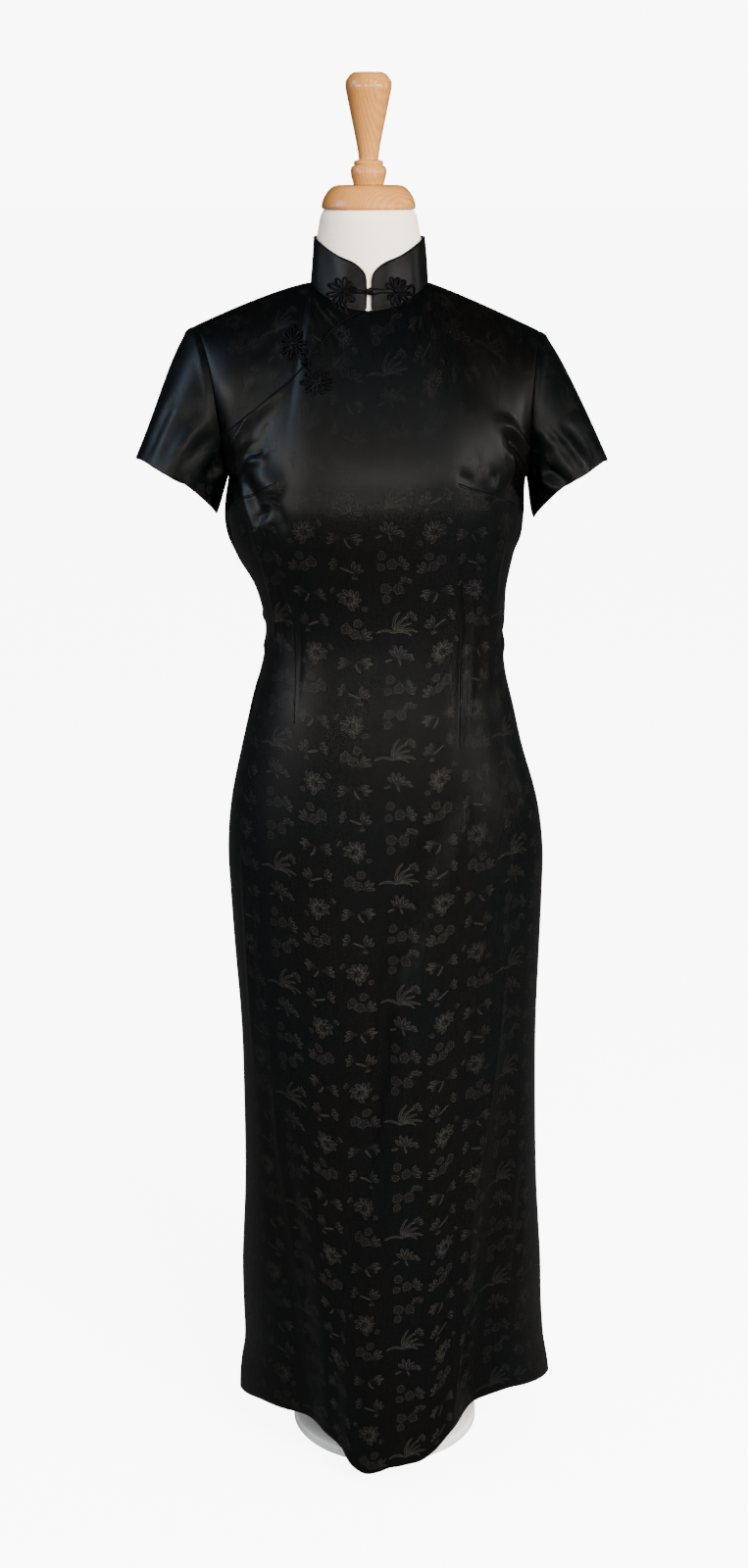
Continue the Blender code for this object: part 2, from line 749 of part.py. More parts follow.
def form_inset(side, u, v):
    """How far the form lies inside the dress's outer face."""
    if v <= 1.0:
        height = panel_point(side, u, v)[2]
        return FORM_INSET + FORM_WAIST_INSET * math.exp(-((height - 0.985) / 0.06) ** 2)
    if abs(u) < NECK_SHARE - 0.001:
        return FORM_INSET
    return FORM_INSET + (FORM_SHOULDER_INSET - FORM_INSET) * ease((v - 1.75) / 0.25)


def form_point(side, u, v):
    """Point of the form under a panel's point."""
    point = panel_point(side, u, v) + form_inset(side, u, v) * panel_inward(side, u, v)
    if abs(u) == 1.0 and v > 1.0:
        point[0] -= u * 0.002
    if v == 2.0 and abs(u) >= NECK_SHARE - 0.001:
        point[1] = 0.0
    if v == 2.0 and abs(abs(u) - NECK_SHARE) < 0.001:
        point[0] -= math.copysign(FORM_NECK_INSET, u)
    return point


def neck_ring_point(ring, side, u):
    """Point of a neck ring under or over the neckline's point at u."""
    turn = 0.5 * math.pi * u / NECK_SHARE
    return np.array((NECK_X + (NECK_X_CAP - NECK_X) * ease((ring.height - 1.38) / 0.05)
                     + ring.half * math.sin(turn), side * ring.depth * math.cos(turn), ring.height))


def make_form_body(material):
    """Padded torso: closed below and at the armholes, drawn in to the neck."""
    upper_rows = 6
    heights = 14
    low_v = (FORM_BOTTOM - HEM) / (ARMPIT - HEM)
    points = []
    faces = []

    def add_grid(grid):
        start = len(points)
        rows = len(grid[0])
        for column in grid:
            points.extend(column)
        for i in range(len(grid) - 1):
            for j in range(rows - 1):
                low = start + i * rows + j
                faces.append((low, low + rows, low + rows + 1, low + 1))

    us = panel_columns(FORM_COLUMNS)
    for side in (FRONT, BACK):
        places = [low_v + (1.0 - low_v) * k / heights for k in range(heights)]
        places += [1.0 + k / upper_rows for k in range(upper_rows + 1)]
        grid = []
        for u in us:
            column = [form_point(side, u, v) for v in places]
            if abs(u) == 1.0:
                for k in range(heights + 1):
                    column[k][1] = 0.0
            column[0][2] = FORM_BOTTOM
            grid.append(column)
        add_grid(grid)
        neck = [u for u in us if abs(u) <= NECK_SHARE + 0.001]
        rings = []
        for u in neck:
            base = form_point(side, u, 2.0)
            rings.append([base] + [neck_ring_point(ring, side, u) for ring in NECK_RINGS])
        add_grid(rings)
    item = add_mesh("form_body", points, faces, material)
    shape = bmesh.new()
    shape.from_mesh(item.data)
    bmesh.ops.holes_fill(shape, edges=[edge for edge in shape.edges if edge.is_boundary], sides=0)
    bmesh.ops.recalc_face_normals(shape, faces=shape.faces)
    shape.to_mesh(item.data)
    shape.free()
    return item


def make_turned(name, profile, axis_x, steps, material):
    """Turned piece from its profile, read from the top down its outer side."""
    mesh = bpy.data.meshes.new(name)
    mesh.from_pydata([(row.radius, 0.0, row.height) for row in profile],
                     [(k, k + 1) for k in range(len(profile) - 1)], [])
    mesh.materials.append(material)
    item = bpy.data.objects.new(name, mesh)
    bpy.context.collection.objects.link(item)
    item.location.x = axis_x
    turn = item.modifiers.new("Turn", "SCREW")
    turn.steps = steps
    turn.render_steps = steps
    turn.use_merge_vertices = True
    turn.merge_threshold = 0.00005
    return item


def make_cylinder(name, radius, low, high, y, steps, material, bevel=0.0):
    bpy.ops.mesh.primitive_cylinder_add(vertices=steps, radius=radius, depth=high - low,
                                        location=(0.0, y, 0.5 * (low + high)))
    item = bpy.context.object
    item.name = name
    item.data.name = name
    item.data.materials.append(material)
    if bevel:
        edge = item.modifiers.new("Edge", "BEVEL")
        edge.width = bevel
        edge.segments = 1
        edge.limit_method = "ANGLE"
    return item


def make_material(name, colour, roughness, metallic=0.0):
    material = bpy.data.materials.new(name)
    material.use_nodes = True
    shader = material.node_tree.nodes["Principled BSDF"]
    shader.inputs["Base Color"].default_value = (*colour, 1.0)
    shader.inputs["Roughness"].default_value = roughness
    shader.inputs["Metallic"].default_value = metallic
    return material


def main():
    for item in list(bpy.data.objects):
        bpy.data.objects.remove(item)
    satin = make_material("satin damask", (0.012, 0.012, 0.014), 0.35)
    cord = make_material("satin cord", (0.006, 0.006, 0.010), 0.4)
    jersey = make_material("form cover", (0.80, 0.76, 0.70), 0.85)
    wood = make_material("turned wood", (0.62, 0.42, 0.22), 0.3)
    steel = make_material("steel", (0.60, 0.60, 0.62), 0.3, 1.0)
    make_front(satin)
    make_underlap(satin)
    make_back(satin)
    make_collar(satin)
    for sleeve in SLEEVES:
        make_sleeve(sleeve, satin)
    for flower in FLOWERS:
        make_flower(flower, cord)
    for knot in KNOTS:
        make_knot(knot, cord)
    make_form_body(jersey)
    make_turned("neck_cap", CAP_PROFILE, NECK_X_CAP, 28, wood)
    make_turned("finial", FINIAL_PROFILE, NECK_X_CAP, 24, wood)
    make_cylinder("pole", POLE_RADIUS, BASE_HEIGHT + SEAM, FORM_BOTTOM - SEAM, 0.0, 16, steel)
    make_cylinder("base", BASE_RADIUS, 0.0, BASE_HEIGHT, BASE_Y, 36, steel, bevel=0.003)


main()
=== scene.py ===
"""Looks of the short-sleeved cheongsam: satin damask shells with their creases and turned hems, corded
flower frogs, piping and stitching, the covered form with its turned wooden cap and knob, and the stand.

Metres, +Z up, the dress faces -Y. The cloth follows the same sizes as the solids under it, with the
finer creases added. Each crease is given its place on the cloth, and each motif of the damask is
charted in one small repeat.
"""

import math
from collections import namedtuple

import bmesh
import bpy
import numpy as np
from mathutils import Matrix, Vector


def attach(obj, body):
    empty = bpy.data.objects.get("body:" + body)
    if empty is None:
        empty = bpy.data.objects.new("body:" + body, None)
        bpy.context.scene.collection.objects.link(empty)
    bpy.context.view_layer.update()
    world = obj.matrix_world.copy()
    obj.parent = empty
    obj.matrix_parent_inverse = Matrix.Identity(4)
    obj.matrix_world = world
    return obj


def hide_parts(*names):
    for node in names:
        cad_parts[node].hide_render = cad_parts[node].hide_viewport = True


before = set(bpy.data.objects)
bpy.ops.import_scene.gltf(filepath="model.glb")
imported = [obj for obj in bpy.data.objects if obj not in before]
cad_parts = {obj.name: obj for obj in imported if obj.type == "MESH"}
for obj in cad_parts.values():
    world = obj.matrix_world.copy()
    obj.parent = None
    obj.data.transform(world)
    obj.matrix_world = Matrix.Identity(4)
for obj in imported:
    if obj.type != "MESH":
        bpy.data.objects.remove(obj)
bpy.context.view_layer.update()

BODY = "root"
FRONT = -1
BACK = 1
LEFT = -1
RIGHT = 1
MM = 0.001

# Sizes of the dress
CLOTH = 0.0009
HEM = 0.036
ARMPIT = 1.165
SLIT_TOP = 0.46
SLIT_OPENING = 0.012

Section = namedtuple("Section", "height centre half front back squareness")
SECTIONS = (
    Section(0.030, 0.0125, 0.1915, 0.152, 0.140, 1.48),
    Section(0.080, 0.0120, 0.1885, 0.150, 0.139, 1.56),
    Section(0.120, 0.0115, 0.1820, 0.149, 0.138, 1.64),
    Section(0.174, 0.0090, 0.1800, 0.147, 0.137, 1.72),
    Section(0.226, 0.0080, 0.1790, 0.145, 0.136, 1.83),
    Section(0.329, 0.0070, 0.1730, 0.140, 0.135, 2.02),
    Section(0.430, 0.0055, 0.1710, 0.135, 0.134, 2.12),
    Section(0.530, 0.0040, 0.1710, 0.130, 0.134, 2.20),
    Section(0.627, 0.0020, 0.1750, 0.125, 0.134, 2.28),
    Section(0.690, 0.0010, 0.1775, 0.121, 0.133, 2.30),
    Section(0.745, 0.0000, 0.1785, 0.118, 0.132, 2.30),
    Section(0.800, -0.0015, 0.1725, 0.115, 0.129, 2.30),
    Section(0.861, -0.0040, 0.1575, 0.111, 0.119, 2.30),
    Section(0.906, -0.0040, 0.1470, 0.107, 0.108, 2.30),
    Section(0.951, -0.0030, 0.1355, 0.103, 0.098, 2.30),
    Section(0.995, -0.0020, 0.1310, 0.101, 0.094, 2.30),
    Section(1.040, -0.0050, 0.1370, 0.104, 0.098, 2.30),
    Section(1.083, -0.0108, 0.1512, 0.112, 0.104, 2.30),
    Section(1.105, -0.0125, 0.1585, 0.117, 0.107, 2.30),
    Section(1.135, -0.0125, 0.1612, 0.121, 0.110, 2.30),
    Section(1.165, -0.0095, 0.1610, 0.120, 0.112, 2.30),
)

Fold = namedtuple("Fold", "side top across_top middle across_middle across_hem width depth")
FOLDS = (
    Fold(FRONT, 0.865, 0.085, 0.55, -0.004, -0.058, 0.015, -0.0050),
    Fold(FRONT, 0.800, 0.100, 0.50, 0.026, -0.022, 0.026, 0.0050),
    Fold(FRONT, 0.640, -0.145, 0.35, -0.115, -0.097, 0.024, -0.0150),
    Fold(FRONT, 0.700, 0.158, 0.40, 0.132, 0.104, 0.024, -0.0150),
    Fold(FRONT, 0.720, 0.140, 0.40, 0.112, 0.070, 0.018, 0.0040),
    Fold(BACK, 0.620, -0.100, 0.33, -0.085, -0.072, 0.026, -0.0110),
    Fold(BACK, 0.600, 0.110, 0.33, 0.092, 0.086, 0.026, -0.0120),
    Fold(BACK, 0.560, 0.000, 0.30, 0.008, 0.012, 0.034, 0.0060),
)

Hem = namedtuple("Hem", "across front back")
HEM_LINE = (
    Hem(-0.178, 0.053, 0.053),
    Hem(-0.160, 0.064, 0.049),
    Hem(-0.135, 0.065, 0.043),
    Hem(-0.112, 0.060, 0.041),
    Hem(-0.095, 0.053, 0.042),
    Hem(-0.078, 0.043, 0.044),
    Hem(-0.064, 0.029, 0.044),
    Hem(-0.046, 0.022, 0.040),
    Hem(-0.026, 0.026, 0.034),
    Hem(0.000, 0.034, 0.031),
    Hem(0.045, 0.0355, 0.034),
    Hem(0.064, 0.038, 0.039),
    Hem(0.080, 0.048, 0.044),
    Hem(0.096, 0.065, 0.046),
    Hem(0.115, 0.074, 0.044),
    Hem(0.135, 0.088, 0.047),
    Hem(0.162, 0.0955, 0.058),
    Hem(0.184, 0.087, 0.070),
    Hem(0.203, 0.076, 0.076),
)

SHOULDER_X = -0.0215
SHOULDER_HALF = 0.1855
Shoulder = namedtuple("Shoulder", "end height bow")
SHOULDERS = {
    LEFT: Shoulder(LEFT, 1.3225, 1.25),
    RIGHT: Shoulder(RIGHT, 1.3180, 1.10),
}
ARMHOLE_DEPTH = 0.052
NECK_X = -0.0180
NECK_HALF = 0.0625
NECK_FRONT = 0.056
NECK_BACK = 0.054
NECK_SIDE_Z = 1.3685
NECK_FRONT_DROP = 0.0255
NECK_SHARE = 0.4
CHEST_PULL = 0.170
SIDE_PULL = 0.250
SHOULDER_PULL = 0.175
TIP_PULL = 0.125
NECK_PULL = 0.150
NECK_LEAN = 0.5
NECK_STEEP = 0.86
ARMHOLE_REACH = 0.45

Edge = namedtuple("Edge", "across height")
OPENING = (
    Edge(-0.190, 1.203),
    Edge(-0.168, 1.219),
    Edge(-0.149, 1.233),
    Edge(-0.129, 1.248),
    Edge(-0.106, 1.267),
    Edge(-0.086, 1.288),
    Edge(-0.073, 1.303),
    Edge(-0.059, 1.321),
    Edge(-0.045, 1.3325),
    Edge(-0.0196, 1.344),
)
TUCK = 0.16
FLUSH = 0.20
OVERLAP = 0.0021

COLLAR_HEIGHT = 0.0465
COLLAR_EDGE_HEIGHT = 0.030
COLLAR_ROUND = 0.34
COLLAR_TOP_HALF = 0.0588
COLLAR_TOP_DEPTH = 0.0545
COLLAR_GAP = math.radians(3.2)
COLLAR_THICKNESS = 0.0013

Sleeve = namedtuple("Sleeve", "name end outer_x outer_z under_x under_z")
SLEEVES = (
    Sleeve("sleeve_left", LEFT, -0.2708, 1.182, -0.1840, 1.122),
    Sleeve("sleeve_right", RIGHT, 0.2400, 1.180, 0.1605, 1.118),
)
CUFF_DEPTH = 0.062
CUFF_FRONT_LIFT = 0.012
CUFF_RISE = 0.0065
CUFF_BOW = 1.25
Heading = namedtuple("Heading", "out down length")
UNDER_START = Heading(0.30, 0.95, 0.045)
UNDER_STOP = Heading(0.35, 0.93, 0.045)
OVER_START = Heading(0.86, 0.50, 0.065)
OVER_STOP = Heading(0.42, 0.91, 0.130)

# Creases of the cloth: depth is how far it stands out, or in where it is negative, and start and stop are
# the shares of it left at the two ends. Route places are x and z on the front or back, or, beside a seam,
# the distance from that seam and the height.
CREASE_TAPER = 0.35
CREASE_REACH = 3.2
Crease = namedtuple("Crease", "depth width route sharp start stop beside",
                    defaults=(0.0, 0.0, 0.0, ""))
FRONT_CREASES = (
    # The stretched band over the bust side and the pocket under it, left
    Crease(0.0042, 0.0110, ((-0.178, 1.251), (-0.146, 1.259), (-0.121, 1.264), (-0.104, 1.277)),
           start=1.0, stop=0.1),
    Crease(-0.0055, 0.0075, ((-0.176, 1.237), (-0.162, 1.231), (-0.147, 1.238)), sharp=0.3, start=1.0),
    Crease(0.0050, 0.0080, ((-0.163, 1.226), (-0.155, 1.208), (-0.148, 1.190)), start=0.2),
    Crease(-0.0022, 0.0035, ((-0.121, 1.232), (-0.126, 1.218), (-0.130, 1.203)), sharp=0.6),
    Crease(0.0026, 0.0045, ((-0.150, 1.186), (-0.135, 1.191), (-0.119, 1.193)), sharp=0.2, start=0.2),
    Crease(-0.0024, 0.0045, ((-0.152, 1.198), (-0.138, 1.201), (-0.126, 1.200)), sharp=0.4, start=0.4),
    Crease(0.0050, 0.0120, ((-0.142, 1.181), (-0.124, 1.166), (-0.106, 1.158)), start=0.3),
    Crease(0.0036, 0.0060, ((-0.154, 1.166), (-0.146, 1.139), (-0.138, 1.110), (-0.134, 1.078)),
           sharp=0.2, start=0.6),
    Crease(-0.0034, 0.0040, ((-0.139, 1.126), (-0.130, 1.134), (-0.121, 1.141)), sharp=0.5),
    Crease(0.0030, 0.0050, ((-0.136, 1.116), (-0.127, 1.126), (-0.116, 1.136))),
    Crease(-0.0024, 0.0060, ((-0.146, 1.170), (-0.138, 1.150), (-0.130, 1.128)), sharp=0.2, start=0.3),
    Crease(-0.0018, 0.0050, ((-0.118, 1.150), (-0.110, 1.135), (-0.104, 1.115)), sharp=0.2),
    # Waist darts and the long creases that run into the hips
    Crease(-0.0026, 0.0050, ((-0.098, 1.118), (-0.096, 1.063), (-0.093, 1.000), (-0.096, 0.900)),
           sharp=0.9),
    Crease(0.0008, 0.0080, ((-0.088, 1.105), (-0.086, 1.060), (-0.084, 1.000))),
    Crease(-0.0026, 0.0050, ((0.084, 1.112), (0.082, 1.021), (0.081, 0.925), (0.080, 0.850)), sharp=0.9),
    Crease(0.0022, 0.0080, ((0.091, 1.060), (0.090, 0.960), (0.088, 0.880))),
    Crease(0.0022, 0.0120, ((-0.106, 1.010), (-0.115, 0.963), (-0.130, 0.915))),
    Crease(-0.0022, 0.0060, ((-0.127, 1.112), (-0.117, 1.067), (-0.112, 1.014), (-0.116, 0.972)),
           sharp=0.2),
    Crease(0.0026, 0.0050, ((-0.134, 1.105), (-0.125, 1.058), (-0.119, 1.012), (-0.122, 0.968)), sharp=0.1),
    Crease(-0.0028, 0.0090, ((0.094, 1.130), (0.098, 1.090), (0.098, 1.050))),
    Crease(0.0030, 0.0050, ((0.131, 1.146), (0.126, 1.112), (0.119, 1.070), (0.117, 1.020)),
           sharp=0.2, start=0.3),
    Crease(-0.0022, 0.0050, ((0.118, 1.120), (0.112, 1.070), (0.110, 1.020)), sharp=0.2),
    Crease(0.0016, 0.0060, ((0.108, 1.020), (0.110, 0.980), (0.114, 0.930))),
    # Under the arm, right
    Crease(0.0046, 0.0070, ((0.110, 1.219), (0.126, 1.225), (0.139, 1.216), (0.149, 1.200)),
           sharp=0.2, stop=0.8),
    Crease(-0.0040, 0.0060, ((0.118, 1.209), (0.133, 1.208), (0.147, 1.188)), sharp=0.3, stop=0.8),
    Crease(0.0048, 0.0070, ((0.126, 1.206), (0.131, 1.190), (0.131, 1.168)), start=0.2),
    Crease(-0.0026, 0.0045, ((0.106, 1.181), (0.112, 1.174), (0.118, 1.170)), sharp=0.4),
    Crease(0.0030, 0.0065, ((0.100, 1.190), (0.110, 1.166), (0.112, 1.148))),
    Crease(-0.0022, 0.0040, ((0.074, 1.181), (0.083, 1.175), (0.093, 1.170)), sharp=0.7, start=0.3),
    Crease(0.0032, 0.0045, ((0.126, 1.164), (0.137, 1.151), (0.145, 1.136)), sharp=0.2),
    Crease(-0.0034, 0.0055, ((0.134, 1.172), (0.142, 1.160), (0.150, 1.148)), sharp=0.3),
    # Skirt: the long diagonal valley from the right dart to the hem, and the folds beside it
    Crease(-0.0085, 0.0120, ((0.086, 0.863), (0.052, 0.780), (0.027, 0.692), (0.003, 0.612),
                             (-0.006, 0.512), (-0.027, 0.369), (-0.048, 0.230)), sharp=0.2),
    Crease(0.0034, 0.0120, ((0.058, 0.700), (0.030, 0.600), (0.020, 0.480), (0.002, 0.340), (-0.014, 0.200))),
    Crease(0.0020, 0.0100, ((0.094, 0.842), (0.082, 0.790), (0.070, 0.735), (0.060, 0.680))),
    Crease(-0.0022, 0.0040, ((0.084, 0.838), (0.090, 0.806), (0.094, 0.762)), sharp=0.8),
    Crease(0.0028, 0.0045, ((0.142, 0.835), (0.142, 0.742), (0.133, 0.651), (0.1195, 0.498),
                            (0.1006, 0.354), (0.089, 0.205), (0.0766, 0.083)), sharp=0.4, stop=0.6),
    Crease(-0.0028, 0.0060, ((0.124, 0.740), (0.116, 0.685), (0.106, 0.594), (0.094, 0.501), (0.084, 0.400)),
           sharp=0.4),
    Crease(0.0024, 0.0060, ((0.104, 0.640), (0.094, 0.560), (0.083, 0.470)), sharp=0.2),
    Crease(-0.0030, 0.0070, ((-0.136, 0.470), (-0.127, 0.339), (-0.113, 0.227), (-0.100, 0.100)),
           sharp=0.4, stop=0.5),
    Crease(0.0030, 0.0065, ((-0.134, 0.600), (-0.118, 0.400), (-0.100, 0.250), (-0.086, 0.110)),
           sharp=0.2, stop=0.5),
    Crease(-0.0018, 0.0045, ((-0.152, 0.780), (-0.149, 0.663), (-0.144, 0.560)), sharp=0.3),
    Crease(0.0020, 0.0050, ((-0.158, 0.790), (-0.156, 0.679), (-0.152, 0.560), (-0.149, 0.470)), sharp=0.2),
    Crease(-0.0022, 0.0060, ((0.160, 0.400), (0.152, 0.280), (0.144, 0.190)), sharp=0.2),
    Crease(0.0022, 0.0070, ((0.049, 0.112), (0.030, 0.070), (0.012, 0.036)), sharp=0.2, stop=1.0),
    Crease(-0.0018, 0.0080, ((-0.030, 0.500), (-0.050, 0.360), (-0.066, 0.240))),
    Crease(0.0022, 0.0100, ((-0.010, 0.420), (-0.034, 0.270), (-0.044, 0.120), (-0.046, 0.030)), stop=0.6),
    Crease(0.0014, 0.0180, ((-0.050, 0.860), (-0.066, 0.700), (-0.078, 0.560))),
    Crease(-0.0014, 0.0160, ((-0.085, 0.800), (-0.098, 0.680), (-0.104, 0.540))),
    # Shallow slack over the chest
    Crease(-0.0012, 0.0160, ((0.072, 1.330), (0.086, 1.280), (0.096, 1.230))),
    Crease(0.0012, 0.0130, ((0.100, 1.325), (0.112, 1.280), (0.118, 1.235))),
    Crease(-0.0010, 0.0120, ((-0.040, 1.320), (-0.052, 1.280), (-0.070, 1.235))),
)
UNDERLAP_CREASES = (
    Crease(-0.0016, 0.0080, ((-0.120, 1.285), (-0.134, 1.270), (-0.150, 1.262)), sharp=0.2),
    Crease(0.0018, 0.0100, ((-0.108, 1.290), (-0.122, 1.276), (-0.138, 1.272))),
    Crease(-0.0014, 0.0120, ((-0.100, 1.335), (-0.125, 1.310), (-0.150, 1.292))),
)
SEAM_CREASES = (
    Crease(0.0026, 0.0050, ((0.006, 1.152), (0.016, 1.120), (0.018, 1.080), (0.014, 1.040)),
           sharp=0.1, start=0.2, beside="left"),
    Crease(-0.0024, 0.0045, ((0.014, 1.155), (0.027, 1.122), (0.030, 1.086)),
           sharp=0.2, start=0.2, beside="left"),
    Crease(-0.0020, 0.0040, ((0.004, 1.095), (0.009, 1.055), (0.010, 1.010), (0.008, 0.975)),
           sharp=0.3, start=0.2, beside="left"),
    Crease(0.0024, 0.0040, ((0.005, 1.022), (0.012, 1.013), (0.024, 1.008)), sharp=0.2, beside="left"),
    Crease(-0.0022, 0.0038, ((0.003, 1.006), (0.014, 1.000), (0.030, 0.998)),
           sharp=0.4, start=0.2, beside="left"),
    Crease(0.0022, 0.0045, ((0.004, 0.988), (0.015, 0.980), (0.034, 0.972)),
           sharp=0.2, start=0.2, beside="left"),
    Crease(-0.0018, 0.0045, ((0.003, 0.968), (0.014, 0.957), (0.030, 0.945)),
           sharp=0.3, start=0.2, beside="left"),
    Crease(0.0016, 0.0050, ((0.006, 0.952), (0.016, 0.930), (0.022, 0.890)), start=0.2, beside="left"),
    Crease(-0.0016, 0.0060, ((0.010, 0.900), (0.020, 0.850), (0.026, 0.780)), beside="left"),
    Crease(0.0026, 0.0050, ((0.006, 1.150), (0.014, 1.118), (0.018, 1.076)),
           sharp=0.1, start=0.2, beside="right"),
    Crease(-0.0024, 0.0050, ((0.012, 1.140), (0.024, 1.100), (0.026, 1.060)),
           sharp=0.2, start=0.2, beside="right"),
    Crease(0.0018, 0.0045, ((0.005, 1.040), (0.012, 1.010), (0.015, 0.960)),
           sharp=0.2, start=0.2, beside="right"),
    Crease(-0.0016, 0.0045, ((0.004, 1.000), (0.018, 0.990), (0.036, 0.985)),
           sharp=0.2, start=0.2, beside="right"),
    Crease(0.0016, 0.0050, ((0.005, 0.985), (0.020, 0.972), (0.040, 0.962)), start=0.2, beside="right"),
    Crease(-0.0016, 0.0060, ((0.010, 0.900), (0.017, 0.850), (0.022, 0.770)), beside="right"),
)
BACK_CREASES = (
    # Back waist darts, the slack over the waist and the creases under the arms
    Crease(-0.0026, 0.0050, ((-0.074, 1.130), (-0.068, 1.060), (-0.066, 0.980), (-0.072, 0.880)),
           sharp=0.9),
    Crease(-0.0026, 0.0050, ((0.064, 1.135), (0.060, 1.060), (0.060, 0.980), (0.068, 0.885)), sharp=0.9),
    Crease(0.0024, 0.0080, ((-0.058, 1.025), (-0.020, 1.012), (0.028, 1.020), (0.050, 1.030))),
    Crease(-0.0022, 0.0070, ((-0.052, 1.008), (-0.010, 0.996), (0.036, 1.002)), sharp=0.1),
    Crease(0.0020, 0.0070, ((-0.046, 0.992), (0.002, 0.980), (0.052, 0.988)), sharp=0.1),
    Crease(-0.0016, 0.0080, ((-0.060, 1.046), (-0.030, 1.040), (0.010, 1.044))),
    Crease(0.0036, 0.0080, ((-0.168, 1.212), (-0.146, 1.190), (-0.124, 1.158)), start=0.8),
    Crease(-0.0034, 0.0065, ((-0.170, 1.196), (-0.150, 1.170), (-0.134, 1.142)), sharp=0.3, start=0.8),
    Crease(0.0030, 0.0065, ((-0.160, 1.166), (-0.146, 1.140), (-0.138, 1.104)), sharp=0.1, start=0.4),
    Crease(0.0036, 0.0080, ((0.150, 1.214), (0.128, 1.188), (0.108, 1.160)), start=0.8),
    Crease(-0.0034, 0.0065, ((0.152, 1.196), (0.133, 1.168), (0.120, 1.136)), sharp=0.3, start=0.8),
    Crease(0.0028, 0.0065, ((0.142, 1.160), (0.130, 1.130), (0.124, 1.094)), sharp=0.1, start=0.4),
    Crease(0.0016, 0.0140, ((-0.110, 1.290), (-0.060, 1.275), (0.010, 1.278), (0.070, 1.288))),
    Crease(-0.0014, 0.0120, ((-0.090, 1.262), (-0.030, 1.250), (0.050, 1.258))),
    Crease(-0.0018, 0.0140, ((-0.030, 1.230), (-0.026, 1.160), (-0.020, 1.090))),
    # Skirt, under the seat
    Crease(0.0030, 0.0120, ((-0.110, 0.760), (-0.060, 0.722), (0.010, 0.712), (0.070, 0.736))),
    Crease(-0.0026, 0.0110, ((-0.090, 0.722), (-0.030, 0.690), (0.040, 0.694))),
    Crease(-0.0036, 0.0090, ((0.040, 0.600), (0.044, 0.420), (0.050, 0.240), (0.052, 0.060)),
           sharp=0.3, stop=0.5),
    Crease(0.0030, 0.0100, ((0.064, 0.640), (0.070, 0.430), (0.070, 0.240), (0.068, 0.070)), stop=0.5),
    Crease(-0.0034, 0.0090, ((-0.030, 0.560), (-0.036, 0.360), (-0.040, 0.200), (-0.036, 0.060)),
           sharp=0.3, stop=0.5),
    Crease(0.0024, 0.0090, ((-0.060, 0.640), (-0.062, 0.420), (-0.058, 0.220), (-0.056, 0.060)),
           sharp=0.1, stop=0.5),
    Crease(-0.0026, 0.0080, ((-0.132, 0.560), (-0.130, 0.380), (-0.122, 0.200), (-0.120, 0.090)),
           sharp=0.2, stop=0.4),
    Crease(0.0026, 0.0080, ((0.142, 0.620), (0.140, 0.420), (0.136, 0.240), (0.138, 0.100)),
           sharp=0.1, stop=0.4),
)
# On a sleeve the first number is the turn from under the arm, in degrees, and the second the share of
# the way from the armhole to the hem.
SLEEVE_CREASES = {
    "sleeve_left": (
        Crease(-0.0022, 0.0100, ((70, 0.02), (76, 0.40), (84, 0.90)), sharp=0.2, start=0.4),
        Crease(0.0022, 0.0110, ((88, 0.05), (93, 0.45), (96, 1.00)), start=0.2, stop=0.3),
        Crease(-0.0018, 0.0120, ((108, 0.25), (110, 0.60), (112, 1.00)), stop=0.3),
        Crease(-0.0030, 0.0070, ((40, 0.00), (50, 0.35), (58, 0.75)), sharp=0.4, start=0.8),
        Crease(0.0030, 0.0070, ((28, 0.00), (38, 0.35), (46, 0.80)), sharp=0.1, start=0.8),
        Crease(-0.0020, 0.0090, ((136, 0.45), (134, 0.75), (133, 1.00)), sharp=0.1, stop=0.4),
        Crease(-0.0026, 0.0090, ((286, 0.00), (278, 0.40), (270, 0.85)), sharp=0.2, start=0.6),
        Crease(0.0026, 0.0090, ((262, 0.10), (256, 0.55), (252, 1.00)), start=0.3, stop=0.2),
        Crease(-0.0030, 0.0070, ((322, 0.00), (312, 0.35), (302, 0.70)), sharp=0.4, start=0.8),
    ),
    "sleeve_right": (
        Crease(-0.0042, 0.0070, ((54, 0.45), (66, 0.70), (78, 1.00)), sharp=0.4, stop=0.6),
        Crease(0.0034, 0.0060, ((44, 0.50), (54, 0.75), (64, 1.00)), sharp=0.1, stop=0.6),
        Crease(-0.0030, 0.0075, ((88, 0.25), (94, 0.55), (101, 0.90)), sharp=0.3, stop=0.3),
        Crease(0.0028, 0.0080, ((96, 0.40), (104, 0.70), (112, 1.00)), sharp=0.1, stop=0.3),
        Crease(-0.0018, 0.0080, ((112, 0.50), (119, 0.75), (126, 1.00)), sharp=0.1, stop=0.3),
        Crease(0.0022, 0.0090, ((78, 0.02), (82, 0.30), (86, 0.60)), start=0.2),
        Crease(-0.0028, 0.0070, ((36, 0.00), (44, 0.25), (50, 0.50)), sharp=0.4, start=0.8),
        Crease(-0.0030, 0.0080, ((282, 0.02), (274, 0.45), (268, 0.95)), sharp=0.3, start=0.4),
        Crease(0.0026, 0.0080, ((256, 0.30), (250, 0.65), (246, 1.00)), stop=0.5),
        Crease(-0.0030, 0.0070, ((324, 0.00), (314, 0.35), (306, 0.70)), sharp=0.4, start=0.8),
    ),
}


# Curves and surfaces
def ease(value):
    """Smooth step from 0 to 1."""
    value = np.clip(value, 0.0, 1.0)
    return value * value * (3.0 - 2.0 * value)


def unit(vectors):
    """The same headings, each of length one."""
    return vectors / np.maximum(np.linalg.norm(vectors, axis=-1, keepdims=True), 1e-12)


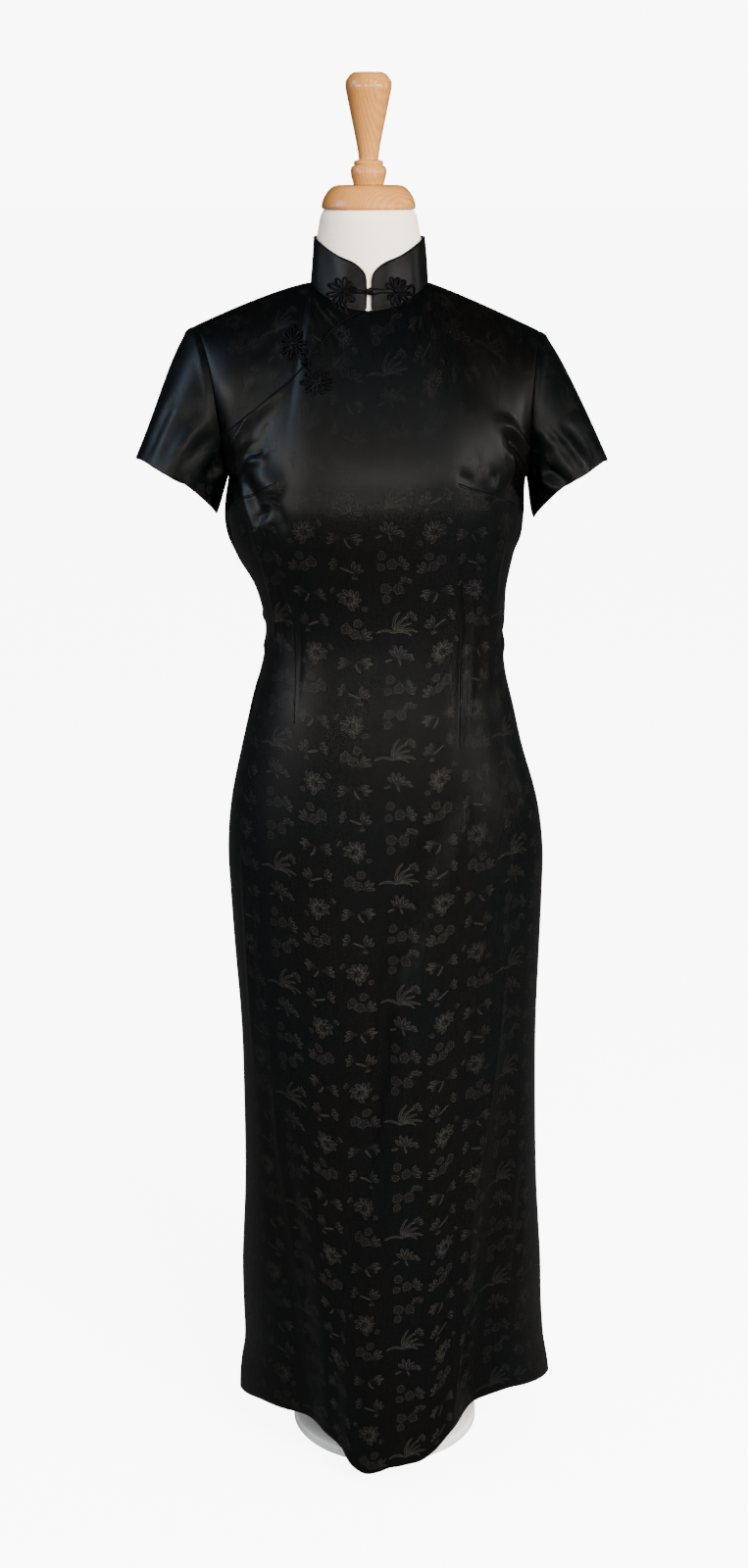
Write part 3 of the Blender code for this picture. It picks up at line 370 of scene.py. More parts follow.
def smooth_curve(keys, table, key):
    """Values at any key on the smooth curves through the rows of a table."""
    slopes = np.empty_like(table)
    slopes[1:-1] = (table[2:] - table[:-2]) / (keys[2:] - keys[:-2])[:, None]
    slopes[0] = (table[1] - table[0]) / (keys[1] - keys[0])
    slopes[-1] = (table[-1] - table[-2]) / (keys[-1] - keys[-2])
    key = np.clip(key, keys[0], keys[-1])
    low = np.clip(np.searchsorted(keys, key, side="right") - 1, 0, len(keys) - 2)
    span = (keys[low + 1] - keys[low])[..., None]
    t = (key - keys[low])[..., None] / span
    rise = table[low + 1] - table[low]
    lead = slopes[low] * span
    trail = slopes[low + 1] * span
    return (table[low] + t * lead + t * t * (3 * rise - 2 * lead - trail)
            + t ** 3 * (lead + trail - 2 * rise))


def read_table(rows, key):
    """Rows of a table at any values of its first column."""
    table = np.array(rows, float)
    return smooth_curve(table[:, 0], table, key)


def through(points, count):
    """Points on a smooth line through the given ones, count to each stretch between two of them."""
    points = np.asarray(points, float)
    keys = np.arange(len(points), dtype=float)
    return smooth_curve(keys, points, np.linspace(0, len(points) - 1, count * (len(points) - 1) + 1))


def join(*values):
    """Points from their x, y and z."""
    return np.stack(np.broadcast_arrays(*values), axis=-1)


def fold_push(side, across, height):
    """How far the large folds push the cloth out, or in where it is negative."""
    total = np.zeros(np.broadcast(across, height).shape)
    for fold in FOLDS:
        if fold.side != side:
            continue
        a, b, c = fold.top, fold.middle, HEM
        route = (fold.across_top * (height - b) * (height - c) / ((a - b) * (a - c))
                 + fold.across_middle * (height - a) * (height - c) / ((b - a) * (b - c))
                 + fold.across_hem * (height - a) * (height - b) / ((c - a) * (c - b)))
        strength = ease(1.15 * (fold.top - height) / (fold.top - HEM))
        away = (across - route) / (fold.width * (0.6 + 0.4 * strength))
        total += fold.depth * strength * np.exp(-away * away)
    return total


def tube_points(side, angle, height):
    """Outer face below the armpits: angle 0 is the middle of the panel and pi / 2 its right seam."""
    row = read_table(SECTIONS, height)
    centre, half, square = row[..., 1], row[..., 2], row[..., 5]
    depth = row[..., 3] if side == FRONT else row[..., 4]
    sine = np.sin(angle)
    cosine = np.abs(np.cos(angle))
    x = half * np.sign(sine) * np.abs(sine) ** (2.0 / square)
    y = side * depth * cosine ** (2.0 / square)
    out = unit(np.stack((np.sign(x) * np.abs(x) ** (square - 1) / half ** square + 1e-9,
                         side * np.abs(y) ** (square - 1) / depth ** square), axis=-1))
    push = fold_push(side, centre + x, height) * ease(np.abs(y) / 0.03)
    return join(centre + x + out[..., 0] * push, y + out[..., 1] * push, height)


def slit_share(height):
    """Part of the half girth that the side slit takes from each panel's edge."""
    row = read_table(SECTIONS, height)
    opening = SLIT_OPENING * (np.maximum(SLIT_TOP - height, 0.0) / (SLIT_TOP - HEM)) ** 1.3
    return (0.5 * opening / row[..., 3]) ** (0.5 * row[..., 5]) / (0.5 * math.pi)


def lower_points(side, u, v):
    """Panel points from hem, v = 0, to armpit, v = 1, and from side seam to side seam, u = -1 to 1."""
    guess = read_table(SECTIONS, np.array(HEM))
    across = guess[1] + guess[2] * np.sin(0.5 * math.pi * u)
    low = read_table(HEM_LINE, across)[..., 1 if side == FRONT else 2]
    height = low + (ARMPIT - low) * v
    return tube_points(side, 0.5 * math.pi * u * (1.0 - slit_share(height)), height)


def shoulder_tip(end):
    """Outer end of the shoulder seam."""
    return np.array((SHOULDER_X + end * SHOULDER_HALF, 0.0, SHOULDERS[end].height))


def neck_points(angle):
    """Neckline seam: angle 0 is the centre back and pi the centre front."""
    sine = np.sin(angle)
    cosine = np.cos(angle)
    depth = np.where(cosine < 0, NECK_FRONT, NECK_BACK)
    return join(NECK_X + NECK_HALF * sine, depth * cosine,
                NECK_SIDE_Z - NECK_FRONT_DROP * np.minimum(cosine, 0.0) ** 2)


def top_edge(side, u):
    """Where a panel's columns end on the shoulder seam or the neckline, and their headings there."""
    over = np.array((0.0, -float(side), 0.0))
    share = np.clip((np.abs(u) - NECK_SHARE) / (1.0 - NECK_SHARE), 0.0, 1.0)
    end = np.where(u < 0, LEFT, RIGHT)
    tip_z = np.where(u < 0, SHOULDERS[LEFT].height, SHOULDERS[RIGHT].height)
    bow = np.where(u < 0, SHOULDERS[LEFT].bow, SHOULDERS[RIGHT].bow)
    neck = NECK_X + end * NECK_HALF
    tip_x = SHOULDER_X + end * SHOULDER_HALF
    shoulder = join(neck + (tip_x - neck) * share, 0.0 * share,
                    NECK_SIDE_Z - (NECK_SIDE_Z - tip_z) * share ** bow)
    shoulder_heading = (SHOULDER_PULL + (TIP_PULL - SHOULDER_PULL) * share)[..., None] * over
    turn = 0.5 * math.pi * np.clip(np.abs(u) / NECK_SHARE, 0.0, 1.0)
    neckline = neck_points(np.where(u < 0, -1.0, 1.0) * (math.pi - turn if side == FRONT else turn))
    middle = np.cos(turn)[..., None]
    rise = np.array((0.0, -NECK_LEAN * side, NECK_STEEP))
    pull = SHOULDER_PULL + (NECK_PULL - SHOULDER_PULL) * middle
    neck_heading = pull * unit(over * (1.0 - middle) + rise * middle)
    outside = (np.abs(u) >= NECK_SHARE)[..., None]
    return np.where(outside, shoulder, neckline), np.where(outside, shoulder_heading, neck_heading)


def armhole_points(side, end, w):
    """Armhole seam from the armpit, w = 0, to the shoulder tip, w = 1."""
    low = tube_points(side, np.array(end * 0.5 * math.pi), np.array(ARMPIT))
    tip = shoulder_tip(end)
    return join(low[0] + (tip[0] - low[0]) * w * w, side * ARMHOLE_DEPTH * np.sin(math.pi * w),
                ARMPIT + (tip[2] - ARMPIT) * 0.5 * (1.0 - np.cos(math.pi * w)))


def hermite(start, start_heading, stop, stop_heading, t):
    """Points on the cubic curves between two places with given headings."""
    t = np.asarray(t)[..., None]
    return ((2 * t ** 3 - 3 * t * t + 1) * start + (t ** 3 - 2 * t * t + t) * start_heading
            + (3 * t * t - 2 * t ** 3) * stop + (t ** 3 - t * t) * stop_heading)


def column_points(side, u, w):
    """Upper panel without regard to the armhole."""
    start = lower_points(side, u, 1.0)
    length = CHEST_PULL + (SIDE_PULL - CHEST_PULL) * ease((np.abs(u) - 0.05) / 0.45)
    heading = unit(start - lower_points(side, u, 0.99)) * length[..., None]
    stop, stop_heading = top_edge(side, u)
    return hermite(start, heading, stop, stop_heading, w)


def upper_points(side, u, w):
    """Panel points from armpit, w = 0, to the shoulder and neckline, w = 1."""
    points = column_points(side, u, w)
    for end in (LEFT, RIGHT):
        share = ease((end * u - ARMHOLE_REACH) / (1.0 - ARMHOLE_REACH))[..., None]
        edge = armhole_points(side, end, w) - column_points(side, np.full_like(w, float(end)), w)
        points = points + share * edge
    return points


def panel_points(side, u, v):
    """Outer face of a panel: v runs from 0 at the hem over 1 at the armpit to 2 at the top."""
    u, v = np.broadcast_arrays(np.asarray(u, float), np.asarray(v, float))
    low = lower_points(side, u, np.clip(v, 0.0, 1.0))
    high = upper_points(side, u, np.clip(v - 1.0, 0.0, 1.0))
    return np.where((v <= 1.0)[..., None], low, high)


def from_axis(points):
    """Directions away from the upright axis of the neck."""
    return (points - (NECK_X, 0.0, 0.0)) * (1.0, 1.0, 0.0)


def grid_normals(points, facing, closed=False):
    """Unit normals of a grid of points, on the side that most of the facing directions are on."""
    if closed:
        across = np.roll(points, -1, axis=0) - np.roll(points, 1, axis=0)
    else:
        across = np.gradient(points, axis=0)
    normals = unit(np.cross(across, np.gradient(points, axis=1)))
    return normals if np.sum(normals * facing) > 0 else -normals


def arc_length(points, axis):
    """Distance along one way of a grid of points, from its first line."""
    steps = np.linalg.norm(np.diff(points, axis=axis), axis=-1)
    zero = np.zeros_like(np.take(steps, [0], axis=axis))
    return np.concatenate((zero, np.cumsum(steps, axis=axis)), axis=axis)


def opening_top(u):
    """Where the front's columns end: on the diagonal opening, or at the top."""
    steps = np.linspace(1.05, 2.0, 1200)
    top = np.full(len(u), 2.0)
    for i, place in enumerate(u):
        if place > -0.005:
            continue
        points = panel_points(FRONT, place, steps)
        over = points[:, 2] - read_table(OPENING, points[:, 0])[:, 1]
        k = int(np.argmax(over >= 0))
        if k > 0:
            top[i] = steps[k - 1] + (steps[k] - steps[k - 1]) * over[k - 1] / (over[k - 1] - over[k])
    return top


def whole_top(u):
    """Columns that all end at the shoulder and the neckline."""
    return np.full(len(u), 2.0)


def crease_push(places, creases, find):
    """How far the creases push the cloth at its places; find gives the cloth place of a route's point."""
    total = np.zeros(places.shape[:-1])
    for crease in creases:
        route = through([find(crease, *point) for point in crease.route], 5)
        spans = np.linalg.norm(np.diff(route, axis=0), axis=1)
        run = np.concatenate(([0.0], np.cumsum(spans)))
        reach = CREASE_REACH * crease.width
        near = np.all((places > route.min(0) - reach) & (places < route.max(0) + reach), axis=-1)
        spots = places[near]
        best = np.full(len(spots), np.inf)
        along = np.zeros(len(spots))
        for k, span in enumerate(spans):
            step = (route[k + 1] - route[k]) / max(span, 1e-9)
            t = np.clip((spots - route[k]) @ step, 0.0, span)
            away = np.linalg.norm(spots - route[k] - t[:, None] * step, axis=1)
            closer = away < best
            best[closer] = away[closer]
            along[closer] = (run[k] + t[closer]) / run[-1]
        strength = ((crease.start + (1.0 - crease.start) * ease(along / CREASE_TAPER))
                    * (crease.stop + (1.0 - crease.stop) * ease((1.0 - along) / CREASE_TAPER)))
        total[near] += crease.depth * strength * np.exp(-(best / crease.width) ** (2.0 - crease.sharp))
    return total


# Meshes
def add_object(name, mesh):
    item = bpy.data.objects.new(name, mesh)
    bpy.context.collection.objects.link(item)
    return item


def mesh_from_grid(name, points, uv, closed=False):
    """Object with one face for each cell of a grid of points, and its cloth coordinates in metres."""
    columns, rows = points.shape[:2]
    index = np.arange(columns * rows).reshape(columns, rows)
    right = np.roll(index, -1, axis=0) if closed else index[1:]
    left = index if closed else index[:-1]
    quads = np.stack((left[:, :-1], right[:, :-1], right[:, 1:], left[:, 1:]), axis=-1).reshape(-1, 4)
    mesh = bpy.data.meshes.new(name)
    mesh.from_pydata(points.reshape(-1, 3).tolist(), [], quads.tolist())
    faces = uv.reshape(-1, 2)[quads.ravel()].reshape(-1, 4, 2)
    if closed:
        girth = uv[-1, :, 0].max()
        wraps = np.ptp(faces[..., 0], axis=1) > 0.5 * girth
        low = faces[..., 0] < 0.5 * girth
        faces[..., 0] += girth * (1.0 + 1.0 / columns) * (wraps[:, None] & low)
    layer = mesh.uv_layers.new(name="cloth")
    layer.data.foreach_set("uv", faces.astype(np.float32).ravel())
    mesh.shade_smooth()
    return add_object(name, mesh)


def face_outward(item, facing):
    """Turns a surface's faces so that most look along the directions that facing gives."""
    mesh = item.data
    centre = np.empty(len(mesh.polygons) * 3)
    normal = np.empty(len(mesh.polygons) * 3)
    mesh.polygons.foreach_get("center", centre)
    mesh.polygons.foreach_get("normal", normal)
    if np.sum(facing(centre.reshape(-1, 3)) * normal.reshape(-1, 3)) < 0:
        mesh.flip_normals()


def bake(item):
    """Turns what an object's modifiers make into its plain mesh."""
    graph = bpy.context.evaluated_depsgraph_get()
    mesh = bpy.data.meshes.new_from_object(item.evaluated_get(graph))
    item.modifiers.clear()
    item.data = mesh
    mesh.name = item.name
    return item


def thicken(item, thickness=CLOTH):
    """Gives a surface the thickness of cloth, inwards, with closed edges."""
    wall = item.modifiers.new("Wall", "SOLIDIFY")
    wall.thickness = thickness
    wall.offset = -1.0
    return bake(item)


def finish_piece(item, material, slot, *replaced):
    """Gives a finished piece its material and its place on the body."""
    item.data.materials.clear()
    item.data.materials.append(material)
    if replaced:
        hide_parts(*replaced)
    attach(item, BODY)
    return item


# Wiring of materials
class Wire:
    """A number in a shader tree. Arithmetic on it adds the nodes that work it out."""

    def __init__(self, tree, source):
        self.tree = tree
        self.source = source

    def math(self, operation, *others):
        node = self.tree.nodes.new("ShaderNodeMath")
        node.operation = operation
        for value, socket in zip((self, *others), node.inputs):
            plug(self.tree, value, socket)
        return Wire(self.tree, node.outputs[0])

    def __add__(self, other):
        return self.math("ADD", other)

    def __sub__(self, other):
        return self.math("SUBTRACT", other)

    def __mul__(self, other):
        return self.math("MULTIPLY", other)

    def __truediv__(self, other):
        return self.math("DIVIDE", other)

    def __pow__(self, other):
        return self.math("POWER", other)

    def __abs__(self):
        return self.math("ABSOLUTE")

    def step(self, low, high, at_low=0.0, at_high=1.0):
        """Smooth change from one value to another as this number goes from low to high."""
        node = self.tree.nodes.new("ShaderNodeMapRange")
        node.interpolation_type = "SMOOTHSTEP"
        for value, name in ((self, "Value"), (low, "From Min"), (high, "From Max"),
                            (at_low, "To Min"), (at_high, "To Max")):
            plug(self.tree, value, node.inputs[name])
        return Wire(self.tree, node.outputs["Result"])


def plug(tree, value, socket):
    """Links a wire or a socket, or sets a plain value."""
    source = value.source if isinstance(value, Wire) else value
    if isinstance(source, bpy.types.NodeSocket):
        tree.links.new(source, socket)
    else:
        socket.default_value = source


def make_group(name, inputs, outputs):
    """Empty shader group with named sockets, its input wires and its output sockets by name."""
    tree = bpy.data.node_groups.new(name, "ShaderNodeTree")
    for label, kind, value in inputs:
        socket = tree.interface.new_socket(label, in_out="INPUT", socket_type="NodeSocket" + kind)
        if kind == "Float":
            socket.default_value = value
    for label, kind in outputs:
        tree.interface.new_socket(label, in_out="OUTPUT", socket_type="NodeSocket" + kind)
    entry = tree.nodes.new("NodeGroupInput")
    end = tree.nodes.new("NodeGroupOutput")
    wires = {label: Wire(tree, entry.outputs[label]) for label, _, _ in inputs}
    return tree, wires, end.inputs


def use_group(tree, group, **values):
    """Places a group in a tree, with values for its inputs, underscores standing for spaces."""
    node = tree.nodes.new("ShaderNodeGroup")
    node.node_tree = group
    for label, value in values.items():
        plug(tree, value, node.inputs[label.replace("_", " ")])
    return node.outputs


def add_noise(tree, vector, scale, detail=2.0, roughness=0.5):
    node = tree.nodes.new("ShaderNodeTexNoise")
    plug(tree, vector, node.inputs["Vector"])
    node.inputs["Scale"].default_value = scale
    node.inputs["Detail"].default_value = detail
    node.inputs["Roughness"].default_value = roughness
    return Wire(tree, node.outputs["Fac"])


def stretch(tree, vector, scale):
    """Vector scaled by its own factor along each axis."""
    node = tree.nodes.new("ShaderNodeMapping")
    plug(tree, vector, node.inputs["Vector"])
    node.inputs["Scale"].default_value = scale
    return node.outputs["Vector"]


def split(tree, vector):
    node = tree.nodes.new("ShaderNodeSeparateXYZ")
    plug(tree, vector, node.inputs[0])
    return [Wire(tree, output) for output in node.outputs]


def tinted(tree, factor, low, high):
    """Colour between two, by a factor."""
    node = tree.nodes.new("ShaderNodeMix")
    node.data_type = "RGBA"
    first, second = [socket for socket in node.inputs if socket.type == "RGBA"]
    plug(tree, factor, node.inputs["Factor"])
    for value, socket in ((low, first), (high, second)):
        plug(tree, (*value, 1.0) if isinstance(value, tuple) else value, socket)
    return next(socket for socket in node.outputs if socket.type == "RGBA")


# Damask motifs, charted in millimetres and degrees about the middle of their cell. A spray is a fan of
# leaves or a ring of petals round one point.
Spray = namedtuple("Spray", "x y turn count spread bend root reach width")
MOTIFS = (
    # Leaf sprig
    (Spray(-9, 5, 160, 3, 120, 12, 1.0, 10.0, 1.7), Spray(6, -5, 55, 3, 95, -8, 0.5, 14.0, 1.8),
     Spray(6, -5, 148, 1, 40, 6, 0.0, 16.0, 0.6), Spray(7, -6, 268, 2, 70, 0, 0.5, 7.0, 1.3)),
    # Chrysanthemum with curled petals
    (Spray(-2, 0, 20, 8, 310, 42, 4.0, 14.0, 2.1), Spray(-2, 0, 355, 6, 260, -30, 1.0, 8.5, 1.7),
     Spray(-15, 9, 150, 2, 80, 0, 0.5, 7.0, 1.6), Spray(13, -11, 0, 5, 360, 0, 0.3, 3.2, 1.4)),
    # Plum blossoms over a leaf
    (Spray(-9, 2, 10, 5, 360, 0, 0.7, 6.6, 2.5), Spray(0, -4, 40, 5, 360, 0, 0.7, 6.4, 2.4),
     Spray(4, 8, 0, 5, 360, 0, 0.5, 5.4, 2.1), Spray(5, -9, 28, 3, 80, 0, 1.0, 15.0, 1.6)),
    # Long leaf spray
    (Spray(-4, 0, 170, 3, 62, 12, 0.5, 16.0, 1.6), Spray(0, -1, 20, 2, 34, -18, 0.5, 20.0, 1.4),
     Spray(0, -1, 280, 1, 50, 24, 0.0, 14.0, 0.7), Spray(9, -3, 340, 2, 84, 0, 0.5, 8.5, 1.4)),
    # Plum blossoms on a twig
    (Spray(-8, 3, 0, 5, 360, 0, 0.7, 6.6, 2.5), Spray(5, 2, 30, 5, 360, 0, 0.7, 6.6, 2.5),
     Spray(-9, -9, 15, 5, 360, 0, 0.5, 5.4, 2.1), Spray(14, 10, 70, 4, 220, 38, 1.0, 7.5, 1.7)),
    # Orchid
    (Spray(-3, -13, 74, 4, 96, -36, 0.0, 25.0, 1.2), Spray(-3, -13, 142, 1, 70, 40, 0.0, 22.0, 1.0),
     Spray(-2, -12, 30, 1, 60, -46, 0.0, 18.0, 1.0), Spray(15, 5, 60, 5, 260, 20, 0.6, 7.0, 1.5)),
    # Bamboo
    (Spray(0, -5, 76, 5, 156, 0, 1.0, 15.0, 1.6), Spray(-6, -6, 200, 1, 40, 0, 0.0, 9.0, 0.7),
     Spray(8, -6, 10, 2, 56, 0, 0.5, 9.5, 1.4), Spray(0, -5, 290, 1, 40, 0, 0.0, 8.0, 0.7)),
    # Plum blossoms with a bud
    (Spray(-8, 6, 20, 5, 360, 0, 0.6, 5.6, 2.2), Spray(-10, -7, 0, 5, 360, 0, 0.5, 4.9, 2.0),
     Spray(2, -4, 10, 5, 360, 0, 0.7, 6.6, 2.5), Spray(9, -5, 22, 4, 130, 0, 1.0, 11.5, 1.6)),
)
CELL_WIDE = 46.0
CELL_TALL = 34.5
COLUMN_START = -54.0
ROW_START = 1066.75
SECOND_COLUMN_DROP = 9.0
THIRD_COLUMN_DROP = 74.0
THREAD_LINE = 0.50
# Ranges in which the chart is stored, three numbers to a ramp
RADIAN = math.pi / 180.0
CHART = (
    (("x", -30.0, 30.0, 1.0), ("y", -30.0, 30.0, 1.0), ("turn", 0.0, 360.0, RADIAN)),
    (("count", 0.0, 16.0, 1.0), ("spread", 0.0, 360.0, RADIAN), ("bend", -90.0, 90.0, RADIAN)),
    (("root", 0.0, 10.0, 1.0), ("reach", 0.0, 30.0, 1.0), ("width", 0.0, 5.0, 1.0)),
)


def make_spray_group():
    """Drawing of one spray: 1 on its outlines, less on its leaves, 0 elsewhere."""
    names = ("x", "y", "turn", "count", "spread", "bend", "root", "reach", "width")
    tree, wires, end = make_group("spray", [(name, "Float", 1.0) for name in names], [("Drawing", "Float")])
    x, y, turn, count, spread, bend, root, reach, width = (wires[name] for name in names)
    away = (x * x + y * y).math("SQRT")
    angle = (y.math("ARCTAN2", x) - turn - bend * (away / reach)).math("WRAP", math.pi, -math.pi)
    half = spread * 0.5
    sector = spread / count
    place = (angle + half) / sector
    leaf = place.math("FLOOR")
    off_leaf = (place - leaf - 0.5) * sector
    longest = reach * (leaf * 0.618 + turn).math("FRACT").step(0.0, 1.0, 1.0, 0.84)
    share = (away - root) / (longest - root)
    in_reach = share.math("GREATER_THAN", 0.0) * share.math("LESS_THAN", 1.0)
    on_leaf = in_reach * abs(angle).math("LESS_THAN", half)
    share = share.math("MAXIMUM", 0.0).math("MINIMUM", 1.0)
    leaf_half = width * (share * (share * -1.0 + 1.0) * 4.0) ** 0.6
    sideways = away * abs(off_leaf.math("SINE"))
    line = abs(sideways - leaf_half).step(0.3 * THREAD_LINE, THREAD_LINE, 1.0, 0.0)
    body = sideways.math("LESS_THAN", leaf_half) * 0.16
    plug(tree, line.math("MAXIMUM", body) * on_leaf, end["Drawing"])
    return tree


def add_chart_ramp(tree, place, columns, layer):
    """Three numbers of the chart for the motif at place, out of one constant ramp."""
    ramp = tree.nodes.new("ShaderNodeValToRGB")
    ramp.color_ramp.interpolation = "CONSTANT"
    plug(tree, place, ramp.inputs["Fac"])
    stops = ramp.color_ramp.elements
    stops[1].position = 1.0 / len(MOTIFS)
    for k in range(2, len(MOTIFS)):
        stops.new(k / len(MOTIFS))
    for stop, sprays in zip(stops, MOTIFS):
        numbers = [(getattr(sprays[layer], name) - low) / (high - low) for name, low, high, _ in columns]
        stop.color = (*numbers, 1.0)
    scale = tree.nodes.new("ShaderNodeVectorMath")
    scale.operation = "MULTIPLY_ADD"
    plug(tree, ramp.outputs["Color"], scale.inputs[0])
    scale.inputs[1].default_value = [(high - low) * factor for _, low, high, factor in columns]
    scale.inputs[2].default_value = [low * factor for _, low, _, factor in columns]
    return dict(zip((name for name, _, _, _ in columns), split(tree, scale.outputs[0])))


def make_damask_group(spray):
    """The whole repeat: three columns of four motifs, told apart by the cloth's own coordinates."""
    tree, wires, end = make_group("damask", [("Cloth", "Vector", None)], [("Drawing", "Float")])
    u, v, _ = split(tree, wires["Cloth"])
    across = (u * (1.0 / MM) - COLUMN_START) / CELL_WIDE
    column = across.math("FLOOR")
    kind = column.math("FLOORED_MODULO", 3.0)
    second = kind.math("COMPARE", 1.0, 0.1)
    third = kind.math("COMPARE", 2.0, 0.1)
    down = (v * (-1.0 / MM) + ROW_START + second * SECOND_COLUMN_DROP + third * THIRD_COLUMN_DROP) / CELL_TALL
    row = down.math("FLOOR")
    x = (across - column - 0.5) * CELL_WIDE * (third * -2.0 + 1.0)
    y = (row - down + 0.5) * CELL_TALL
    motif = (row + second * 3.0).math("FLOORED_MODULO", 4.0) + second * 4.0
    place = (motif + 0.5) / float(len(MOTIFS))
    drawing = None
    for layer in range(len(MOTIFS[0])):
        chart = {}
        for columns in CHART:
            chart.update(add_chart_ramp(tree, place, columns, layer))
        chart["x"] = x - chart["x"]
        chart["y"] = y - chart["y"]
        drawn = Wire(tree, use_group(tree, spray, **chart)["Drawing"])
        drawing = drawn if drawing is None else drawing.math("MAXIMUM", drawn)
    plug(tree, drawing, end["Drawing"])
    return tree


def make_weave_and_light_tint_group():
    """Upright threads and slubs of satin as a height; soft random patches that mix painted light colours as a
    tint.
    """
    tree, wires, end = make_group("weave_and_light_tint", [("Cloth", "Vector", None)],
                                  [("Height", "Float"), ("Tint", "Float")])
    threads = add_noise(tree, stretch(tree, wires["Cloth"], (1400.0, 45.0, 1.0)), 1.0, 3.0, 0.6)
    slubs = add_noise(tree, stretch(tree, wires["Cloth"], (160.0, 900.0, 1.0)), 1.0, 2.0)
    plug(tree, threads * 0.7 + slubs * 0.3, end["Height"])
    plug(tree, add_noise(tree, stretch(tree, wires["Cloth"], (9.0, 5.0, 1.0)), 1.0, 2.0), end["Tint"])
    return tree


def make_seam_group():
    """Groove of a seam or dart sewn straight from one cloth place to another."""
    names = ("Start U", "Start V", "Stop U", "Stop V")
    places = [(name, "Float", 0.0) for name in names]
    tree, wires, end = make_group("sewn line", [("Cloth", "Vector", None)] + places, [("Groove", "Float")])
    u, v, _ = split(tree, wires["Cloth"])
    start_u, start_v, stop_u, stop_v = (wires[name] for name in names)
    run_u = stop_u - start_u
    run_v = stop_v - start_v
    away_u = u - start_u
    away_v = v - start_v
    share = (away_u * run_u + away_v * run_v) / (run_u * run_u + run_v * run_v)
    share = share.math("MAXIMUM", 0.0).math("MINIMUM", 1.0)
    off_u = away_u - run_u * share
    off_v = away_v - run_v * share
    away = (off_u * off_u + off_v * off_v).math("SQRT")
    plug(tree, away.step(0.0002, 0.0016, 1.0, 0.0), end["Groove"])
    return tree


def make_grain_group():
    """Growth rings about an axis beside the piece, with fine pores along it."""
    tree, wires, end = make_group("wood grain", [("Place", "Vector", None), ("Ring", "Float", 0.0026)],
                                  [("Rings", "Float"), ("Pores", "Float")])
    wander = add_noise(tree, stretch(tree, wires["Place"], (1.0, 1.0, 0.22)), 28.0, 3.0)
    x, y, _ = split(tree, wires["Place"])
    x = x + 0.085
    y = y - 0.060
    away = (x * x + y * y).math("SQRT") + wander * 0.011
    wave = (away * (2.0 * math.pi) / wires["Ring"]).math("SINE")
    plug(tree, wave * 0.5 + 0.5, end["Rings"])
    pores = add_noise(tree, stretch(tree, wires["Place"], (1100.0, 1100.0, 60.0)), 1.0, 2.0)
    plug(tree, pores.step(0.52, 0.74), end["Pores"])
    return tree


def new_material(name, colour, roughness, metallic=0.0):
    """Material, its node tree and its shader's inputs."""
    material = bpy.data.materials.new(name)
    material.use_nodes = True
    shader = material.node_tree.nodes["Principled BSDF"].inputs
    shader["Base Color"].default_value = (*colour, 1.0)
    shader["Roughness"].default_value = roughness
    shader["Metallic"].default_value = metallic
    return material, material.node_tree, shader


def add_bump(tree, shader, height, depth):
    bump = tree.nodes.new("ShaderNodeBump")
    bump.inputs["Strength"].default_value = 1.0
    bump.inputs["Distance"].default_value = depth
    plug(tree, height, bump.inputs["Height"])
    plug(tree, bump.outputs["Normal"], shader["Normal"])


def cloth_place(tree):
    node = tree.nodes.new("ShaderNodeUVMap")
    node.uv_map = "cloth"
    return node.outputs["UV"]


def object_place(tree):
    return tree.nodes.new("ShaderNodeTexCoord").outputs["Object"]


DAMASK = make_damask_group(make_spray_group())
WEAVE_AND_LIGHT_TINT = make_weave_and_light_tint_group()
SEAM = make_seam_group()
GRAIN = make_grain_group()

# Painted light colour: the ground as under warm light and as under cool light. Soft random patches mix the
# two, and each piece's painted cool share raises the cool light, most on the sleeves.
GROUND_IN_WARM_LIGHT = (0.0016, 0.0013, 0.0011)
GROUND_IN_COOL_LIGHT = (0.0006, 0.0012, 0.0015)
MOTIF_SILK = (0.0165, 0.0150, 0.0130)
# Painted light on the motifs: faint above the first of these heights, full below the second.
PAINTED_LIGHT_FAINT_HEIGHT = 1.22
PAINTED_LIGHT_FULL_HEIGHT = 0.95


def make_satin(name, painted_cool_share=0.0, seams=()):
    """Black silk satin damask; seams are straight sewn lines between cloth places."""
    material, tree, shader = new_material(name, GROUND_IN_WARM_LIGHT, 0.38)
    cloth = cloth_place(tree)
    weave_and_light_tint = use_group(tree, WEAVE_AND_LIGHT_TINT, Cloth=cloth)
    drawing = Wire(tree, use_group(tree, DAMASK, Cloth=cloth)["Drawing"])
    # Painted light colour: the cool light share of the ground, never below the piece's own painted cool
    # share.
    tint = Wire(tree, weave_and_light_tint["Tint"]).step(0.35, 0.65, painted_cool_share, 1.0)
    ground = tinted(tree, tint, GROUND_IN_WARM_LIGHT, GROUND_IN_COOL_LIGHT)
    across, along, _ = split(tree, cloth)
    # Painted light: the motifs show fully only low on the skirt and in a middle strip, and fade upwards and
    # towards the sides as the light shows them there.
    clear = along.step(PAINTED_LIGHT_FULL_HEIGHT, PAINTED_LIGHT_FAINT_HEIGHT, 1.0, 0.16) * abs(across + 0.01).step(0.06, 0.16, 1.0, 0.40)
    threads = Wire(tree, weave_and_light_tint["Height"])
    woven = tinted(tree, threads.step(0.34, 0.66), (0.0002, 0.0002, 0.0003), ground)
    plug(tree, tinted(tree, drawing * clear, woven, MOTIF_SILK), shader["Base Color"])
    plug(tree, drawing.step(0.0, 1.0, 0.39, 0.60) + (threads - 0.5) * 0.16, shader["Roughness"])
    height = threads * 0.02 + drawing * 0.12
    for start, stop in seams:
        groove = Wire(tree, use_group(tree, SEAM, Cloth=cloth, Start_U=start[0], Start_V=start[1],
                                      Stop_U=stop[0], Stop_V=stop[1])["Groove"])
        height = height - groove * 1.6
    add_bump(tree, shader, height, 0.0005)
    shader["Specular IOR Level"].default_value = 0.30
    return material


